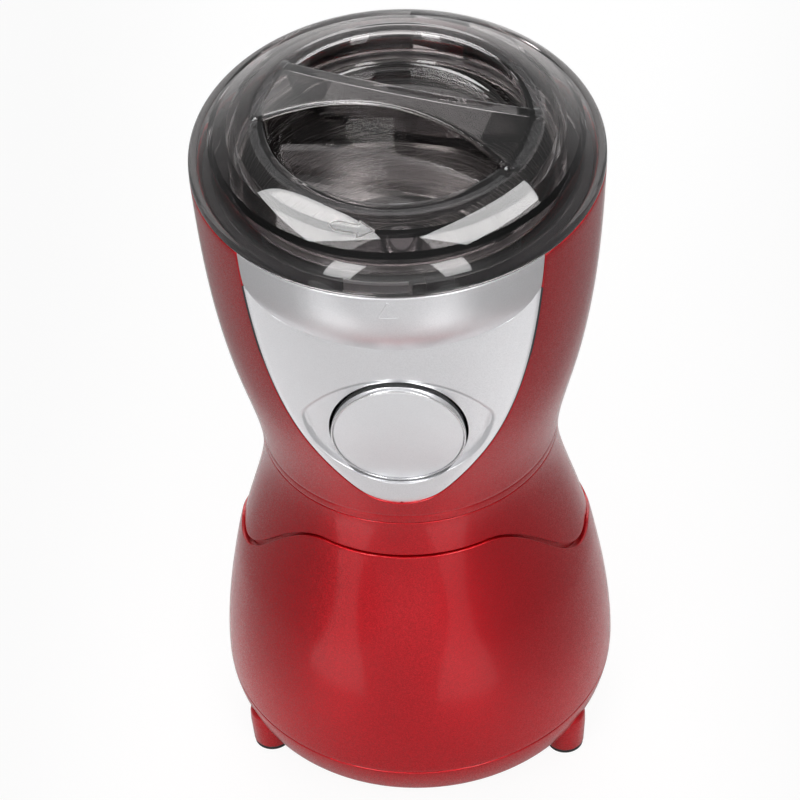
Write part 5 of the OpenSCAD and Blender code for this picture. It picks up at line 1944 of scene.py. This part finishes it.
@dataclass
class Fittings:
    """Small pieces that show: the cord's bushing and the interlock's rod."""

    finishes: Finishes
    cord_r: float = 3.4
    bushing_y: float = 50.0
    bushing_z: float = 24.0
    bushing_l: float = 8.0
    rod_r: float = 1.3
    rod_y: float = 41.6

    def build(self) -> None:
        """Builds the bushing and the rod."""
        y, end = self.bushing_y, self.bushing_y - self.bushing_l
        corners = [(self.cord_r, y), (6.3, y), (6.5, y - 0.4), (6.5, y - 1.2), (4.9, y - 1.2),
                   (4.9, y - 6.0), (5.9, y - 6.0), (5.5, end), (self.cord_r, end)]
        piece = Workpiece("bushing")
        piece.lathe(rounded(corners, [0.6, 0.3, 0.2, 0.1, 0.1, 0.1, 0.3, 0.3, 0.3], 4), 96,
                    Axis.BACK, (0, 0, self.bushing_z))
        piece.finish(self.finishes.of("black_rubber"), "housing", ["cord_bushing"])
        corners = [(0.0, 131.0), (self.rod_r, 131.0), (self.rod_r, 149.0), (2.5, 149.0),
                   (2.5, 150.5), (self.rod_r, 150.5), (self.rod_r, 174.6), (0.0, 174.6)]
        rod = Workpiece("rod")
        rod.lathe(rounded(corners, [0, 0.3, 0.1, 0.3, 0.3, 0.1, 0.6, 0], 4, closed=False), 48,
                  centre=(0, self.rod_y, 0), on_axis=True)
        rod.finish(self.finishes.of("black_plastic"), "interlock", ["interlock_rod"])


# ---- studio -----------------------------------------------------------------------------------


@dataclass(frozen=True)
class Softbox:
    """A flat lamp that faces a point, and shows in reflections alone or lights matt faces alone."""

    name: str
    place: Place
    aim: Place
    size: Corner
    radiance: float
    turn: float = 0.0
    for_gloss: bool = True

    def watts(self) -> float:
        """Returns the power that gives the radiance over the lamp's face."""
        return self.radiance * math.pi * self.size[0] * self.size[1]


@dataclass(frozen=True)
class Fade:
    """A value that goes softly from one level to another over a range."""

    first: float
    last: float
    start: float
    end: float

    def of(self, nodes: Nodes, value: Socket) -> Socket:
        """Returns the level for a value."""
        return nodes.span(value, self.first, self.last, self.start, self.end,
                          interpolation_type="SMOOTHSTEP")


@dataclass
class Studio:
    """The floor, the lamps, the surroundings and the camera."""

    camera_place: Place = (0.0671, -0.8335, 0.9005)
    camera_aim: Place = (0.0, 0.0, 0.10545)
    camera_roll: float = -2.77
    lens: float = 207.65
    sensor: float = 36.0
    shift: Corner = (-0.0110, -0.01325)
    clip: Corner = (0.05, 20.0)
    floor_size: float = 8.0
    floor_shade: Fade = Fade(0.9, 0.42, 0.05, 0.13)
    glow: float = 1.05
    glow_share: float = 0.88
    sky_up: Fade = Fade(1.52, 0.36, 0.12, 0.75)
    sky_aside: Fade = Fade(1.0, 0.3, 0.3, 0.85)
    lamps: tuple[Softbox, ...] = (
        Softbox("left_ceiling_panel", (-0.43, 0.18, 1.18), (-0.43, 0.1801, 0.0), (0.50, 0.70),
                10.5, 16.0),
        Softbox("right_ceiling_panel", (0.47, 0.12, 1.18), (0.47, 0.1201, 0.0), (0.42, 0.74),
                10.5, -32.0),
        Softbox("left_front_panel", (-0.50, -0.95, 0.82), (0, 0, 0.17), (0.30, 0.84), 7.6),
        Softbox("right_front_panel", (0.56, -0.92, 0.82), (0, 0, 0.17), (0.30, 0.84), 7.0),
        Softbox("left_floor_patch", (-0.180, -0.240, 0.003), (-0.180, -0.2399, 1.0),
                (0.06, 0.37), 0.7, 37.0),
        Softbox("right_floor_patch", (0.132, -0.267, 0.003), (0.132, -0.2669, 1.0),
                (0.06, 0.37), 0.6, -27.0),
        Softbox("left_key", (-0.42, -0.85, 0.95), (0, -0.05, 0.1), (0.5, 0.5), 3.0, 0.0, False),
        Softbox("right_key", (0.42, -0.85, 0.95), (0, -0.05, 0.1), (0.5, 0.5), 3.0, 0.0, False),
        Softbox("back_key", (0.0, 0.85, 0.95), (0, 0.05, 0.1), (0.7, 0.5), 2.6, 0.0, False),
    )

    def build(self) -> None:
        """Sets up the studio."""
        self.floor()
        self.surroundings()
        for lamp in self.lamps:
            self.softbox(lamp)
        self.camera()
        bpy.context.scene.view_settings.view_transform = "Standard"

    def camera(self) -> None:
        """Places the camera."""
        data = bpy.data.cameras.new("camera")
        data.lens, data.sensor_width = self.lens, self.sensor
        data.shift_x, data.shift_y = self.shift
        data.clip_start, data.clip_end = self.clip
        camera = bpy.data.objects.new("camera", data)
        bpy.context.scene.collection.objects.link(camera)
        camera.matrix_world = aimed(self.camera_place, self.camera_aim, self.camera_roll)
        bpy.context.scene.camera = camera

    def softbox(self, lamp: Softbox) -> None:
        """Hangs a lamp.

        Args:
            lamp: The lamp.
        """
        data = bpy.data.lights.new(lamp.name, "AREA")
        data.shape = "RECTANGLE"
        data.size, data.size_y = lamp.size
        data.energy = lamp.watts()
        obj = bpy.data.objects.new(lamp.name, data)
        bpy.context.scene.collection.objects.link(obj)
        obj.matrix_world = aimed(lamp.place, lamp.aim, lamp.turn)
        obj.visible_camera = False
        obj.visible_diffuse = not lamp.for_gloss
        obj.visible_glossy = lamp.for_gloss

    def surroundings(self) -> None:
        """Lights the scene from all round, less from above and from the sides."""
        world = bpy.data.worlds.new("studio")
        bpy.context.scene.world = world
        nodes = Nodes(world)
        place = nodes.node("ShaderNodeTexCoord").outputs["Generated"]
        x, _, z = nodes.node("ShaderNodeSeparateXYZ", {0: place}).outputs
        strength = nodes.math("MULTIPLY", self.sky_up.of(nodes, z),
                              self.sky_aside.of(nodes, nodes.math("ABSOLUTE", x)))
        light = nodes.node("ShaderNodeBackground", {"Color": WHITE, "Strength": strength})
        seen = nodes.node("ShaderNodeBackground", {"Color": WHITE})
        both = nodes.mixed(nodes.ray("Is Camera Ray"), light.outputs[0], seen.outputs[0])
        nodes.node("ShaderNodeOutputWorld", {"Surface": both})

    def floor(self) -> None:
        """Lays the pale floor, which glows for the camera and darkens to the sides for the rest."""
        deselect()
        bpy.ops.mesh.primitive_plane_add(size=self.floor_size)
        floor = bpy.context.active_object
        floor.name = "floor"
        material = bpy.data.materials.new("pale_floor")
        nodes = Nodes(material)
        place = nodes.node("ShaderNodeTexCoord").outputs["Object"]
        x = nodes.node("ShaderNodeSeparateXYZ", {0: place}).outputs[0]
        shade = self.floor_shade.of(nodes, nodes.math("ABSOLUTE", x))
        matt = nodes.node("ShaderNodeBsdfDiffuse", {"Color": shade})
        glow = nodes.node("ShaderNodeEmission", {"Strength": self.glow})
        share = nodes.math("MULTIPLY", nodes.ray("Is Camera Ray"), self.glow_share)
        both = nodes.mixed(share, matt.outputs[0], glow.outputs[0])
        nodes.node("ShaderNodeOutputMaterial", {"Surface": both})
        floor.data.materials.append(material)


def main() -> None:
    """Builds the grinder, its finishes and the studio."""
    logging.basicConfig(level=logging.INFO, format="%(name)s: %(message)s")
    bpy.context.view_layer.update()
    deselect()
    finishes = Finishes()
    finishes.dress_frame()
    for assembly in (Shells(finishes), Front(finishes), Lid(finishes), Bowl(finishes),
                     Fittings(finishes), Studio()):
        LOG.info("building %s", type(assembly).__name__)
        assembly.build()
    deselect()


if __name__ == "__main__":
    main()
